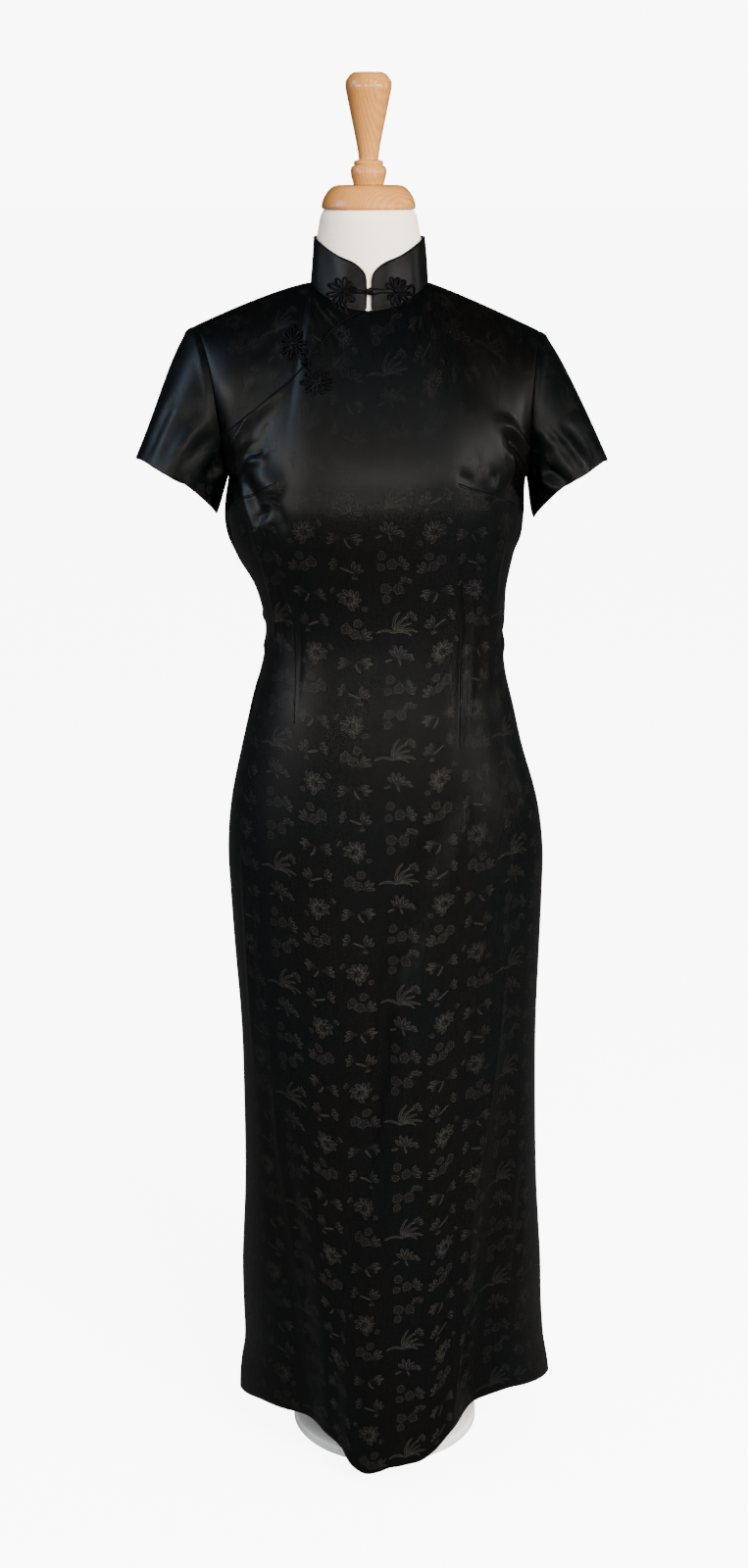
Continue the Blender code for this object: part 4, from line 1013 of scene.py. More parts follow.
def make_cord_satin():
    """Narrow satin tubing, almost black."""
    material, tree, shader = new_material("cord_satin", (0.0035, 0.0038, 0.0060), 0.42)
    place = object_place(tree)
    fuzz = add_noise(tree, place, 900.0, 2.0)
    wear = add_noise(tree, place, 160.0, 2.0)
    plug(tree, tinted(tree, wear, (0.0004, 0.0004, 0.0007), (0.0014, 0.0014, 0.0020)), shader["Base Color"])
    plug(tree, fuzz.step(0.3, 0.7, 0.34, 0.48), shader["Roughness"])
    add_bump(tree, shader, fuzz, 0.0003)
    shader["Specular IOR Level"].default_value = 0.18
    return material


def make_jersey():
    """Cream jersey drawn tight over the form, with fine stitches and slight yellowing."""
    material, tree, shader = new_material("jersey", (0.80, 0.77, 0.72), 0.85)
    place = object_place(tree)
    age = add_noise(tree, place, 14.0, 3.0)
    plug(tree, tinted(tree, age.step(0.3, 0.7), (0.88, 0.75, 0.60), (0.84, 0.73, 0.61)), shader["Base Color"])
    x, y, z = split(tree, place)
    loops = ((x + y) * 3600.0).math("SINE") * (z * 3000.0).math("SINE")
    fuzz = add_noise(tree, place, 700.0, 2.0)
    add_bump(tree, shader, loops * 0.4 + fuzz * 0.6, 0.00025)
    shader["Sheen Weight"].default_value = 0.15
    return material


def make_wood():
    """Lacquered pale maple with faint rings and pores."""
    material, tree, shader = new_material("lacquered_maple", (0.60, 0.38, 0.19), 0.36)
    place = object_place(tree)
    grain = use_group(tree, GRAIN, Place=place)
    patch = add_noise(tree, stretch(tree, place, (1.0, 1.0, 0.5)), 24.0, 2.0)
    pale = tinted(tree, patch.step(0.35, 0.65), (0.38, 0.155, 0.030), (0.45, 0.200, 0.046))
    ringed = tinted(tree, Wire(tree, grain["Rings"]) * 0.45, pale, (0.26, 0.092, 0.016))
    pored = tinted(tree, Wire(tree, grain["Pores"]) * 0.40, ringed, (0.20, 0.066, 0.012))
    plug(tree, pored, shader["Base Color"])
    shader["Coat Weight"].default_value = 0.8
    shader["Coat Roughness"].default_value = 0.10
    add_bump(tree, shader, Wire(tree, grain["Pores"]) * -1.0, 0.00006)
    return material


def make_steel():
    """Steel with a fine white powder coat, slightly greyed in patches."""
    material, tree, shader = new_material("coated_steel", (0.84, 0.83, 0.81), 0.45)
    place = object_place(tree)
    peel = add_noise(tree, place, 900.0, 2.0)
    smudge = add_noise(tree, place, 18.0, 3.0)
    patches = tinted(tree, smudge.step(0.35, 0.7), (0.88, 0.87, 0.85), (0.80, 0.79, 0.77))
    plug(tree, patches, shader["Base Color"])
    plug(tree, smudge * 0.16 + peel * 0.10 + 0.34, shader["Roughness"])
    add_bump(tree, shader, peel, 0.00006)
    return material


cord_satin = make_cord_satin()
jersey = make_jersey()
wood = make_wood()
steel = make_steel()


# Geometry trees
def geometry_tree(name, inputs):
    """Geometry tree with named inputs: the tree, its input node, and its input identifiers by name."""
    tree = bpy.data.node_groups.new(name, "GeometryNodeTree")
    tree.interface.new_socket("Geometry", in_out="INPUT", socket_type="NodeSocketGeometry")
    tree.interface.new_socket("Geometry", in_out="OUTPUT", socket_type="NodeSocketGeometry")
    names = {}
    for label, kind, value in inputs:
        socket = tree.interface.new_socket(label, in_out="INPUT", socket_type="NodeSocket" + kind)
        if value is not None:
            socket.default_value = value
        names[label] = socket.identifier
    return tree, tree.nodes.new("NodeGroupInput"), names


def chain(tree, *steps):
    """Nodes of the given types, each fed by the one before."""
    nodes = []
    for kind in steps:
        node = tree.nodes.new(kind)
        if nodes:
            tree.links.new(nodes[-1].outputs[0], node.inputs[0])
        nodes.append(node)
    return nodes


def make_tubing_tree():
    """Round tubing along each line of edges: satin cords and piping."""
    tree, entry, names = geometry_tree("tubing", [
        ("Radius", "Float", 0.001), ("Sides", "Int", 10), ("Material", "Material", None)])
    to_curve, to_mesh, *_, paint, _ = chain(
        tree, "GeometryNodeMeshToCurve", "GeometryNodeCurveToMesh", "GeometryNodeSetShadeSmooth",
        "GeometryNodeRealizeInstances", "GeometryNodeSetMaterial", "NodeGroupOutput")
    tree.links.new(entry.outputs["Geometry"], to_curve.inputs[0])
    circle = tree.nodes.new("GeometryNodeCurvePrimitiveCircle")
    tree.links.new(entry.outputs["Radius"], circle.inputs["Radius"])
    tree.links.new(entry.outputs["Sides"], circle.inputs["Resolution"])
    tree.links.new(circle.outputs["Curve"], to_mesh.inputs["Profile Curve"])
    to_mesh.inputs["Fill Caps"].default_value = True
    tree.links.new(entry.outputs["Material"], paint.inputs["Material"])
    return tree, names


def make_stitch_tree():
    """Small hand stitches along each line of edges."""
    tree, entry, names = geometry_tree("stitches", [
        ("Pitch", "Float", 0.008), ("Length", "Float", 0.0016), ("Thickness", "Float", 0.0004),
        ("Seed", "Int", 3), ("Material", "Material", None)])
    to_curve, points = chain(tree, "GeometryNodeMeshToCurve", "GeometryNodeCurveToPoints")
    points.mode = "LENGTH"
    tree.links.new(entry.outputs["Geometry"], to_curve.inputs[0])
    tree.links.new(entry.outputs["Pitch"], points.inputs["Length"])
    stitch = tree.nodes.new("GeometryNodeMeshIcoSphere")
    stitch.inputs["Radius"].default_value = 0.5
    stitch.inputs["Subdivisions"].default_value = 2
    size = tree.nodes.new("ShaderNodeCombineXYZ")
    tree.links.new(entry.outputs["Length"], size.inputs[0])
    tree.links.new(entry.outputs["Thickness"], size.inputs[1])
    tree.links.new(entry.outputs["Thickness"], size.inputs[2])
    align = tree.nodes.new("FunctionNodeAlignRotationToVector")
    align.axis = "X"
    tree.links.new(points.outputs["Tangent"], align.inputs["Vector"])
    uneven = tree.nodes.new("FunctionNodeRandomValue")
    uneven.data_type = "FLOAT"
    uneven.inputs[2].default_value = 0.75
    uneven.inputs[3].default_value = 1.2
    tree.links.new(entry.outputs["Seed"], uneven.inputs["Seed"])
    scaled = tree.nodes.new("ShaderNodeVectorMath")
    scaled.operation = "SCALE"
    tree.links.new(size.outputs[0], scaled.inputs[0])
    tree.links.new(uneven.outputs[1], scaled.inputs["Scale"])
    place = tree.nodes.new("GeometryNodeInstanceOnPoints")
    tree.links.new(points.outputs[0], place.inputs["Points"])
    tree.links.new(stitch.outputs["Mesh"], place.inputs["Instance"])
    tree.links.new(align.outputs[0], place.inputs["Rotation"])
    tree.links.new(scaled.outputs[0], place.inputs["Scale"])
    real, paint, _ = chain(
        tree, "GeometryNodeRealizeInstances", "GeometryNodeSetMaterial", "NodeGroupOutput")
    tree.links.new(place.outputs[0], real.inputs[0])
    tree.links.new(entry.outputs["Material"], paint.inputs["Material"])
    return tree, names


TUBING = make_tubing_tree()
STITCHES = make_stitch_tree()


def follow_lines(name, lines, made, material, replaced=(), **values):
    """Piece that a geometry tree makes along lines of points; a line is (points, closed)."""
    tree, names = made
    points = []
    edges = []
    for line, closed in lines:
        start = len(points)
        points.extend(np.asarray(line).tolist())
        edges.extend((start + k, start + k + 1) for k in range(len(line) - 1))
        if closed:
            edges.append((len(points) - 1, start))
    mesh = bpy.data.meshes.new(name)
    mesh.from_pydata(points, edges, [])
    item = add_object(name, mesh)
    modifier = item.modifiers.new("Lines", "NODES")
    modifier.node_group = tree
    for label, value in values.items():
        modifier[names[label]] = value
    modifier[names["Material"]] = material
    bake(item)
    item.data.shade_smooth()
    return finish_piece(item, material, "cord", *replaced)


# Cloth pieces
FRONT_SIZES = (176, 90, 92, 80)
BACK_SIZES = (116, 80, 80, 60)
UNDERLAP_SIZES = (90, 80)
HIP_SHARE = 0.632
HEM_ROWS = 4
CUFF_ROWS = 8
HEM_BACK = 0.0021
ROLL_DEPTH = 0.0006
ROLL_REACH = 0.0016


def panel_grid(side, columns, skirt_rows, waist_rows, upper_rows, tops):
    """Places of a panel's grid, closer together beside the seams and above the hips."""
    t = np.linspace(-1.0, 1.0, columns + 1)
    u = np.sign(t) * (1.0 - (1.0 - np.abs(t)) ** 1.3)
    low = np.concatenate((np.linspace(0.0, HIP_SHARE, skirt_rows, endpoint=False),
                          np.linspace(HIP_SHARE, 1.0, waist_rows, endpoint=False)))
    high = np.linspace(0.0, 1.0, upper_rows + 1)
    v = np.concatenate((np.tile(low, (columns + 1, 1)), 1.0 + (tops(u)[:, None] - 1.0) * high), axis=1)
    return u, v, panel_points(side, u[:, None], v)


def cloth_places(points, v):
    """Cloth coordinates of a grid: distance from its middle column, and height up that column."""
    middle = len(points) // 2
    across = arc_length(points, 0)
    across = across - across[middle]
    along = np.interp(v, v[middle], arc_length(points, 1)[middle])
    return np.stack((across, along), axis=-1)


def panel_finder(points, places):
    """Function from a crease's point to its place on the cloth."""
    def find(crease, first, height):
        if crease.beside:
            column = 0 if crease.beside == "left" else -1
            row = np.argmin(np.abs(points[column, :, 2] - height))
            return places[column, row] + (first if column == 0 else -first, 0.0)
        away = (points[..., 0] - first) ** 2 + (points[..., 2] - height) ** 2
        return places[np.unravel_index(np.argmin(away), away.shape)]
    return find


def declare_cloth(points):
    """Works out the widest and the longest of a piece's surface, and keeps nothing."""
    across = np.diff(points, axis=0)
    along = np.diff(points, axis=1)
    width = float(arc_length(points, 0)[-1].max())
    length = float(arc_length(points, 1)[:, -1].max())


def roll_in(distance):
    """How far cloth sinks as it turns into a seam at that distance."""
    return -ROLL_DEPTH * np.exp(-distance / ROLL_REACH)


def turn_hem(points, normals, uv, rows):
    """Adds the turned-up hem inside the first rows of a grid."""
    inside = points[:, rows::-1] - HEM_BACK * normals[:, rows::-1]
    fold = points[:, :1] - 0.5 * HEM_BACK * normals[:, :1] - (0.0, 0.0, 0.0006)
    turned = uv[:, rows::-1] * (1.0, -1.0) - (0.0, 0.002)
    flat = np.concatenate((turned, uv[:, :1] - (0.0, 0.001), uv), axis=1)
    return np.concatenate((inside, fold, points), axis=1), flat


def push_limit(points, v):
    """How far in the cloth may go: less where the form or the tucked underlap lies close behind."""
    height = points[..., 2]
    limit = -0.012 + 0.0086 * ease((height - 0.62) / 0.04) - 0.0060 * np.exp(-((height - 0.985) / 0.06) ** 2)
    limit = limit + 0.0026 * ease((v - 1.55) / 0.25)
    tucked = (v[:, -1:] < 2.0) & (v > v[:, -1:] - TUCK - 0.03)
    return np.where(tucked, -0.0006, limit)


def make_panel(name, side, node, material, sizes, tops, creases):
    """Front or back panel with its creases and turned hem: its outer surface, normals and column places."""
    u, v, points = panel_grid(side, *sizes, tops)
    places = cloth_places(points, v)
    normals = grid_normals(points, from_axis(points))
    to_edge = np.minimum(places[..., 0] - places[:1, :, 0], places[-1:, :, 0] - places[..., 0])
    push = crease_push(places, creases + SEAM_CREASES, panel_finder(points, places))
    to_top = (2.0 - v) * 0.2
    push = np.maximum(push, push_limit(points, v))
    push = push * ease(to_edge / 0.005) * ease(to_top / 0.02) + roll_in(to_edge)
    push = push + np.where(v[:, -1:] >= 2.0, roll_in(to_top), 0.0)
    points = points + normals * push[..., None]
    item = mesh_from_grid(name, *turn_hem(points, normals, places, HEM_ROWS))
    face_outward(item, from_axis)
    finish_piece(thicken(item), material, "satin", node)
    declare_cloth(points)
    return points, normals, u


def make_underlap(material):
    """Upper front piece that runs in under the front's diagonal edge."""
    t = np.linspace(0.0, 1.0, UNDERLAP_SIZES[0])
    u = -1.0 + 0.98 * t ** 1.25
    edge = opening_top(u)
    low = np.maximum(edge - TUCK, 1.02)
    v = low[:, None] + (2.0 - low[:, None]) * np.linspace(0.0, 1.0, UNDERLAP_SIZES[1])
    points = panel_points(FRONT, u[:, None], v)
    across = arc_length(points, 0)
    along = arc_length(points, 1)
    places = np.stack((across - 0.21, along - along[:, -1:] + 1.32), axis=-1)
    normals = grid_normals(points, from_axis(points))
    push = -OVERLAP * (1.0 - ease((v - edge[:, None] - 0.02) / FLUSH))
    shown = ease((v - edge[:, None] - 0.05) / 0.15)
    push += crease_push(places, UNDERLAP_CREASES, panel_finder(points, places)) * shown
    push += (roll_in(across) + roll_in((2.0 - v) * 0.2)) * shown
    item = mesh_from_grid("underlap_cloth", points + normals * push[..., None], places)
    face_outward(item, from_axis)
    finish_piece(thicken(item), material, "satin", "underlap")
    declare_cloth(points)


def collar_heights(angle):
    """Height of the collar band, rounded down towards its two front ends."""
    rest = np.clip(1.0 - (math.pi - COLLAR_GAP - np.abs(angle)) / COLLAR_ROUND, 0.0, 1.0)
    return COLLAR_EDGE_HEIGHT + (COLLAR_HEIGHT - COLLAR_EDGE_HEIGHT) * np.sqrt(1.0 - rest * rest)


def collar_points(angle, height, lift=0.0):
    """Points of the collar's outer face at a height over the neckline, moved out by lift."""
    low = neck_points(angle)
    share = height / COLLAR_HEIGHT
    out = unit(join(np.sin(angle) / NECK_HALF, np.cos(angle) / NECK_BACK, 0.0))
    high_x = NECK_X + COLLAR_TOP_HALF * np.sin(angle)
    high_y = COLLAR_TOP_DEPTH * np.cos(angle)
    return join(low[..., 0] + (high_x - low[..., 0]) * share, low[..., 1] + (high_y - low[..., 1]) * share,
                low[..., 2] + height) + np.asarray(lift)[..., None] * out


def make_collar(material):
    """Stand-up band that starts inside the neckline seam, and the line that its piping follows."""
    share = np.linspace(-1.0, 1.0, 241)
    angle = (math.pi - COLLAR_GAP) * np.sign(share) * np.abs(share) ** 0.8
    rows = np.linspace(-0.045, 1.0, 32)
    height = collar_heights(angle)[:, None] * rows
    bow = np.sin(math.pi * np.maximum(rows, 0.0))
    lift = 0.0006 * np.sin(9.0 * angle + 0.7)[:, None] * bow + 0.5 * roll_in(np.abs(height))
    points = collar_points(angle[:, None], height, lift)
    across = arc_length(points, 0)
    places = np.stack((across - across[120], 1.4 + height), axis=-1)
    item = mesh_from_grid("collar_band", points, places)
    face_outward(item, from_axis)
    finish_piece(thicken(item, COLLAR_THICKNESS), material, "satin", "collar")
    declare_cloth(points)
    middle = -0.5 * COLLAR_THICKNESS
    rim = collar_points(angle, height[:, -1], lift[:, -1] + middle)
    low_end = collar_points(angle[:1], np.linspace(0.001, height[0, -1], 12)[:-1], middle)
    high_end = collar_points(angle[-1:], np.linspace(height[-1, -1], 0.001, 12)[1:], middle)
    return np.concatenate((low_end, rim, high_end))


def sleeve_heading(sleeve, under, over, share):
    """Headings of a sleeve's lines between the one under the arm, share 0, and the one on top, share 1."""
    low = under.length * np.array((under.out * sleeve.end, 0.0, -under.down))
    high = over.length * np.array((over.out * sleeve.end, 0.0, -over.down))
    return low + (high - low) * share[..., None]


def sleeve_points(sleeve, turn, v):
    """Sleeve surface: turn 0 is under the arm, pi is the top, and v runs from armhole to hem."""
    turn, v = np.broadcast_arrays(turn, v)
    ahead = (turn <= math.pi)[..., None]
    start = np.where(ahead, armhole_points(FRONT, sleeve.end, turn / math.pi),
                     armhole_points(BACK, sleeve.end, 2.0 - turn / math.pi))
    sine = np.sin(turn)
    cosine = np.cos(turn)
    steep = np.sign(cosine) * np.abs(cosine) ** CUFF_BOW
    stop = join(0.5 * (sleeve.outer_x + sleeve.under_x) - 0.5 * (sleeve.outer_x - sleeve.under_x) * cosine,
                -CUFF_DEPTH * sine,
                0.5 * (sleeve.outer_z + sleeve.under_z) - 0.5 * (sleeve.outer_z - sleeve.under_z) * steep
                + CUFF_FRONT_LIFT * sine + CUFF_RISE * np.abs(sine))
    share = 0.5 * (1.0 - cosine)
    return hermite(start, sleeve_heading(sleeve, UNDER_START, OVER_START, share),
                   stop, sleeve_heading(sleeve, UNDER_STOP, OVER_STOP, share), v)


def make_sleeve(sleeve, material):
    """Short sleeve with its creases and turned hem: its outer surface, from the hem to the armhole."""
    turn = np.linspace(0.0, 2.0 * math.pi, 181)[:-1]
    points = sleeve_points(sleeve, turn[:, None], np.linspace(1.0, 0.0, 61))
    middle = points.mean(axis=0, keepdims=True)
    normals = grid_normals(points, points - middle, closed=True)
    across = arc_length(points, 0)[:, 30:31] + np.zeros_like(points[..., 0])
    along = arc_length(points, 1)
    places = np.stack((across, along), axis=-1)

    def find(crease, degrees, share):
        return places[int(round(degrees / 2.0)) % 180, int(round(60 * (1.0 - share)))]

    def from_middle(centres):
        axis = middle[0, ::6]
        away = np.linalg.norm(centres[:, None] - axis, axis=2)
        return centres - axis[np.argmin(away, axis=1)]

    to_seam = along[:, -1:] - along
    full = ease(0.7 * (1.0 - np.cos(turn)) - 0.3)[:, None]
    push = crease_push(places, SLEEVE_CREASES[sleeve.name], find)
    push += 0.0011 * full * np.exp(-((to_seam - 0.008) / 0.005) ** 2)
    push = push * ease(to_seam / 0.006 + 0.25) + roll_in(to_seam)
    points = points + normals * push[..., None]
    grid, flat = turn_hem(points, normals, places, CUFF_ROWS)
    item = mesh_from_grid(sleeve.name + "_cloth", grid, flat + (0.013, 1.05), closed=True)
    face_outward(item, from_middle)
    finish_piece(thicken(item), material, "satin", sleeve.name)
    declare_cloth(np.concatenate((points, points[:1])))
    return points


# Darts, as straight sewn lines between two places of the cloth
FRONT_DARTS = (
    ((-0.106, 1.060), (-0.100, 0.870)),
    ((0.090, 1.060), (0.088, 0.840)),
    ((0.087, 1.137), (0.172, 1.110)),
    ((-0.108, 1.137), (-0.176, 1.108)),
)
BACK_DARTS = (
    ((-0.078, 1.080), (-0.076, 0.870)),
    ((0.070, 1.080), (0.072, 0.870)),
)

# The second number of each satin is its painted cool light share: none on the front, most on the sleeves.
front_satin = make_satin("front_satin", 0.0, FRONT_DARTS)
back_satin = make_satin("back_satin", 0.3, BACK_DARTS)
plain_satin = make_satin("plain_satin", 0.2)
sleeve_satin = make_satin("sleeve_satin", 0.7)

front_points, front_normals, front_u = make_panel(
    "front_cloth", FRONT, "front", front_satin, FRONT_SIZES, opening_top, FRONT_CREASES)
back_points = make_panel("back_cloth", BACK, "back", back_satin, BACK_SIZES, whole_top, BACK_CREASES)[0]
make_underlap(plain_satin)
collar_rim = make_collar(plain_satin)
sleeve_surfaces = [make_sleeve(sleeve, sleeve_satin) for sleeve in SLEEVES]

# Piping and hem stitches
COLLAR_PIPING = 0.0010
OPENING_PIPING = 0.0009
PIPING_LIFT = 0.0004
HEM_STITCH = {"Length": 0.0009, "Thickness": 0.00025}
SKIRT_STITCH_PITCH = 0.012
SLEEVE_STITCH_PITCH = 0.010

follow_lines("collar_piping", [(collar_rim, False)], TUBING, cord_satin, Radius=COLLAR_PIPING, Sides=10)
on_opening = front_u < -0.006
diagonal = front_points[on_opening, -1] + PIPING_LIFT * front_normals[on_opening, -1]
follow_lines("opening_piping", [(diagonal, False)], TUBING, cord_satin, Radius=OPENING_PIPING, Sides=10)
skirt_hems = [(points[:, HEM_ROWS], False) for points in (front_points, back_points)]
follow_lines("hem_stitches", skirt_hems, STITCHES, cord_satin, Pitch=SKIRT_STITCH_PITCH, **HEM_STITCH)
sleeve_hems = [(points[:, CUFF_ROWS], True) for points in sleeve_surfaces]
follow_lines("sleeve_hem_stitches", sleeve_hems, STITCHES, cord_satin,
             Pitch=SLEEVE_STITCH_PITCH, **HEM_STITCH)

# Frogs: radii of the cords, the centre ring and the ball, and how far each part lies over the cloth
CORD = 0.00105
KNOT_CORD = 0.00092
CENTRE_RISE = 0.0011
CROSSING_RISE = 0.0002
RING_RADIUS = 0.0019
RING_LIFT = 0.0024
BALL_RADIUS = 0.0021
BALL_LIFT = 0.0034
LOOP_LIFT = 0.0017
STEM_LIFT = 0.0024
Petal = namedtuple("Petal", "angle length width")
Flower = namedtuple("Flower", "name on across height root petals tails")
FLOWERS = (
    Flower("flower_collar_left", "collar", -0.0455, 1.3622, 0.0022, (
        Petal(8, 14.5, 3.0), Petal(48, 12.0, 2.8), Petal(84, 13.6, 3.0), Petal(122, 14.6, 3.2),
        Petal(158, 16.6, 3.0), Petal(196, 17.6, 2.9), Petal(232, 15.0, 3.1), Petal(275, 12.4, 2.6),
        Petal(318, 15.2, 3.1)),
        (((-4, -9), (-3, -14), (-1, -19), (4, -21), (3, -16), (0, -12)),)),
    Flower("flower_collar_right", "collar", 0.0105, 1.3624, 0.0020, (
        Petal(14, 14.0, 2.2), Petal(46, 14.4, 2.6), Petal(78, 13.6, 2.4), Petal(110, 14.6, 2.5),
        Petal(146, 12.6, 2.6), Petal(222, 11.4, 2.3), Petal(252, 13.6, 2.4), Petal(284, 14.0, 2.4),
        Petal(318, 15.2, 2.5), Petal(346, 15.0, 2.1)),
        (((-2, -12), (-4, -17), (0, -20), (2, -16), (1, -12)),
         ((13, 4), (17, 5), (19, 0), (17, -5), (13, -3)))),
    Flower("flower_chest_upper", "front", -0.0967, 1.3090, 0.0020, (
        Petal(12, 12.4, 2.6), Petal(58, 14.6, 2.8), Petal(94, 17.2, 2.7), Petal(130, 15.6, 2.9),
        Petal(172, 12.6, 2.7), Petal(214, 14.8, 2.9), Petal(250, 16.2, 2.7), Petal(326, 14.0, 2.8)), ()),
    Flower("flower_chest_lower", "front", -0.0726, 1.2730, 0.0020, (
        Petal(4, 16.4, 2.8), Petal(38, 15.6, 2.9), Petal(76, 13.8, 2.8), Petal(150, 13.6, 2.6),
        Petal(186, 16.8, 2.8), Petal(222, 15.2, 2.9), Petal(262, 12.2, 2.7), Petal(304, 13.4, 2.9),
        Petal(334, 15.4, 2.6)), ()),
)


def find_on_front(across, height):
    """Points and headings of the upper front at given x and z."""
    u = (across - NECK_X) / 0.17
    v = 1.0 + (height - ARMPIT) / 0.18
    for _ in range(12):
        u = np.clip(u, -0.995, 0.995)
        v = np.clip(v, 1.005, 1.995)
        here = panel_points(FRONT, u, v)
        du = (panel_points(FRONT, u + 0.002, v) - here) / 0.002
        dv = (panel_points(FRONT, u, v + 0.002) - here) / 0.002
        miss_x = across - here[:, 0]
        miss_z = height - here[:, 2]
        scale = du[:, 0] * dv[:, 2] - du[:, 2] * dv[:, 0]
        u = u + (miss_x * dv[:, 2] - miss_z * dv[:, 0]) / scale
        v = v + (miss_z * du[:, 0] - miss_x * du[:, 2]) / scale
    outward = unit(np.cross(du, dv))
    return here, outward * -np.sign(outward[:, 1:2])


def on_cloth(on, across, height, lift):
    """Points at given x and z on the collar or the front, moved out by lift."""
    if on == "front":
        points, outward = find_on_front(across, height)
        return points + (lift + 0.0004)[:, None] * outward
    angle = math.pi - np.arcsin(np.clip((across - NECK_X) / NECK_HALF, -1.0, 1.0))
    return collar_points(angle, height - neck_points(angle)[:, 2], lift)


def petal_lines(flower):
    """Flat cord line that loops out and back once for each petal, and its height over the cloth."""
    across = []
    up = []
    lift = []
    t = np.linspace(0.0, 1.0, 26)[:-1]
    for petal in flower.petals:
        length = petal.length * MM
        along = flower.root + (length - flower.root) * 0.5 * (1.0 - np.cos(2.0 * math.pi * t))
        aside = petal.width * MM * np.sin(2.0 * math.pi * t) * (along / length) ** 0.8
        angle = math.radians(petal.angle)
        across.append(along * math.cos(angle) + aside * math.sin(angle))
        up.append(along * math.sin(angle) - aside * math.cos(angle))
        rise = CENTRE_RISE * (1.0 - along / length) ** 1.5
        lift.append(CORD + rise + CROSSING_RISE * np.cos(2.0 * math.pi * t + angle))
    return np.concatenate(across), np.concatenate(up), np.concatenate(lift)


def make_flower(flower):
    """Looped cord flower with a small coiled ring at its centre."""
    across, up, lift = petal_lines(flower)
    lines = [(on_cloth(flower.on, flower.across + across, flower.height + up, lift), True)]
    ring = np.linspace(0.0, 4.0 * math.pi, 40)
    shrink = RING_RADIUS * (1.0 - ring / (5.0 * math.pi))
    ring_x = flower.across + shrink * np.cos(ring)
    ring_z = flower.height + shrink * np.sin(ring)
    lines.append((on_cloth(flower.on, ring_x, ring_z, RING_LIFT + 0.0001 * ring), False))
    for tail in flower.tails:
        line = through(np.array(tail) * MM, 6)
        lines.append((on_cloth(flower.on, flower.across + line[:, 0], flower.height + line[:, 1],
                               np.full(len(line), CORD)), False))
    follow_lines(flower.name + "_cord", lines, TUBING, cord_satin, [flower.name], Radius=CORD, Sides=10)


def ball_line(centre, radius):
    """Closed cord line that crosses itself all over a small ball."""
    t = np.linspace(0.0, 2.0 * math.pi, 241)[:-1]
    over = 1.25 * np.sin(5.0 * t)
    swell = radius * (1.0 + 0.10 * np.cos(10.0 * t))
    return centre + join(swell * np.cos(over) * np.cos(4.0 * t), swell * np.cos(over) * np.sin(4.0 * t),
                         swell * np.sin(over))


Knot = namedtuple("Knot", "name on across height heading loop stem spread")
KNOTS = (
    Knot("knot_collar", "collar", -0.0180, 1.3622, 0.02, 0.0250, 0.0240, 0.0018),
    Knot("knot_chest", "front", -0.0846, 1.2910, -0.98, 0.0150, 0.0150, 0.0016),
)


def make_knot(knot):
    """Ball knot with the loop that catches it and the doubled stem that carries it."""
    direction = np.array((math.cos(knot.heading), math.sin(knot.heading)))
    aside = np.array((-direction[1], direction[0]))

    def lay(places, lift):
        line = through([a * direction + b * aside for a, b in places], 6)
        return on_cloth(knot.on, knot.across + line[:, 0], knot.height + line[:, 1], np.full(len(line), lift))

    centre = on_cloth(knot.on, np.array([knot.across]), np.array([knot.height]), np.array([BALL_LIFT]))[0]
    loop = lay([(knot.loop, knot.spread), (0.5 * knot.loop, knot.spread), (0.0010, 0.0031), (-0.0036, 0.0),
                (0.0010, -0.0031), (0.5 * knot.loop, -knot.spread), (knot.loop, -knot.spread)], LOOP_LIFT)
    stems = [(lay([(-knot.stem, side), (-0.5 * knot.stem, side), (-0.0015, 0.7 * side)], STEM_LIFT), False)
             for side in (0.0012, -0.0012)]
    lines = [(ball_line(centre, BALL_RADIUS), True), (loop, False), *stems]
    follow_lines(knot.name + "_cord", lines, TUBING, cord_satin, [knot.name], Radius=KNOT_CORD, Sides=10)


for flower in FLOWERS:
    make_flower(flower)
for knot in KNOTS:
    make_knot(knot)

# Form
FORM_BOTTOM = 0.662
FORM_INSET = 0.0048
FORM_WAIST_INSET = 0.0075
FORM_SHOULDER_INSET = 0.0021
FORM_NECK_INSET = 0.0040
FORM_ARMHOLE_INSET = 0.0020
NECK_X_CAP = -0.0187
FORM_COLUMNS = 101
FORM_ROWS = 70
SHOULDER_ROWS = 41
NECK_ROWS = 28
Ring = namedtuple("Ring", "height half depth")
NECK_RINGS = (
    Ring(1.378, 0.0570, 0.0515),
    Ring(1.396, 0.0567, 0.0512),
    Ring(1.412, 0.0552, 0.0515),
    Ring(1.427, 0.0526, 0.0512),
    Ring(1.437, 0.0506, 0.0505),
    Ring(1.4437, 0.0470, 0.0470),
)


def form_grid(side, u, v):
    """Torso of the form under one panel."""
    outer = panel_points(side, u[:, None], v)
    normals = grid_normals(outer, from_axis(outer))
    waist = FORM_INSET + FORM_WAIST_INSET * np.exp(-((outer[..., 2] - 0.985) / 0.06) ** 2)
    outside = np.abs(u[:, None]) >= NECK_SHARE - 0.001
    above = FORM_INSET + (FORM_SHOULDER_INSET - FORM_INSET) * ease((v - 1.75) / 0.25) * outside
    points = outer - normals * np.where(v > 1.0, above, waist)[..., None]
    points[[0, -1], :, 0] -= u[[0, -1], None] * FORM_ARMHOLE_INSET * (v > 1.0)
    drawn = np.exp(-((np.abs(u[:, None]) - NECK_SHARE) / 0.05) ** 2) * ease((v - 1.85) / 0.15)
    points[..., 0] -= np.sign(u[:, None]) * FORM_NECK_INSET * drawn
    points[:, 0, 2] = FORM_BOTTOM
    return points


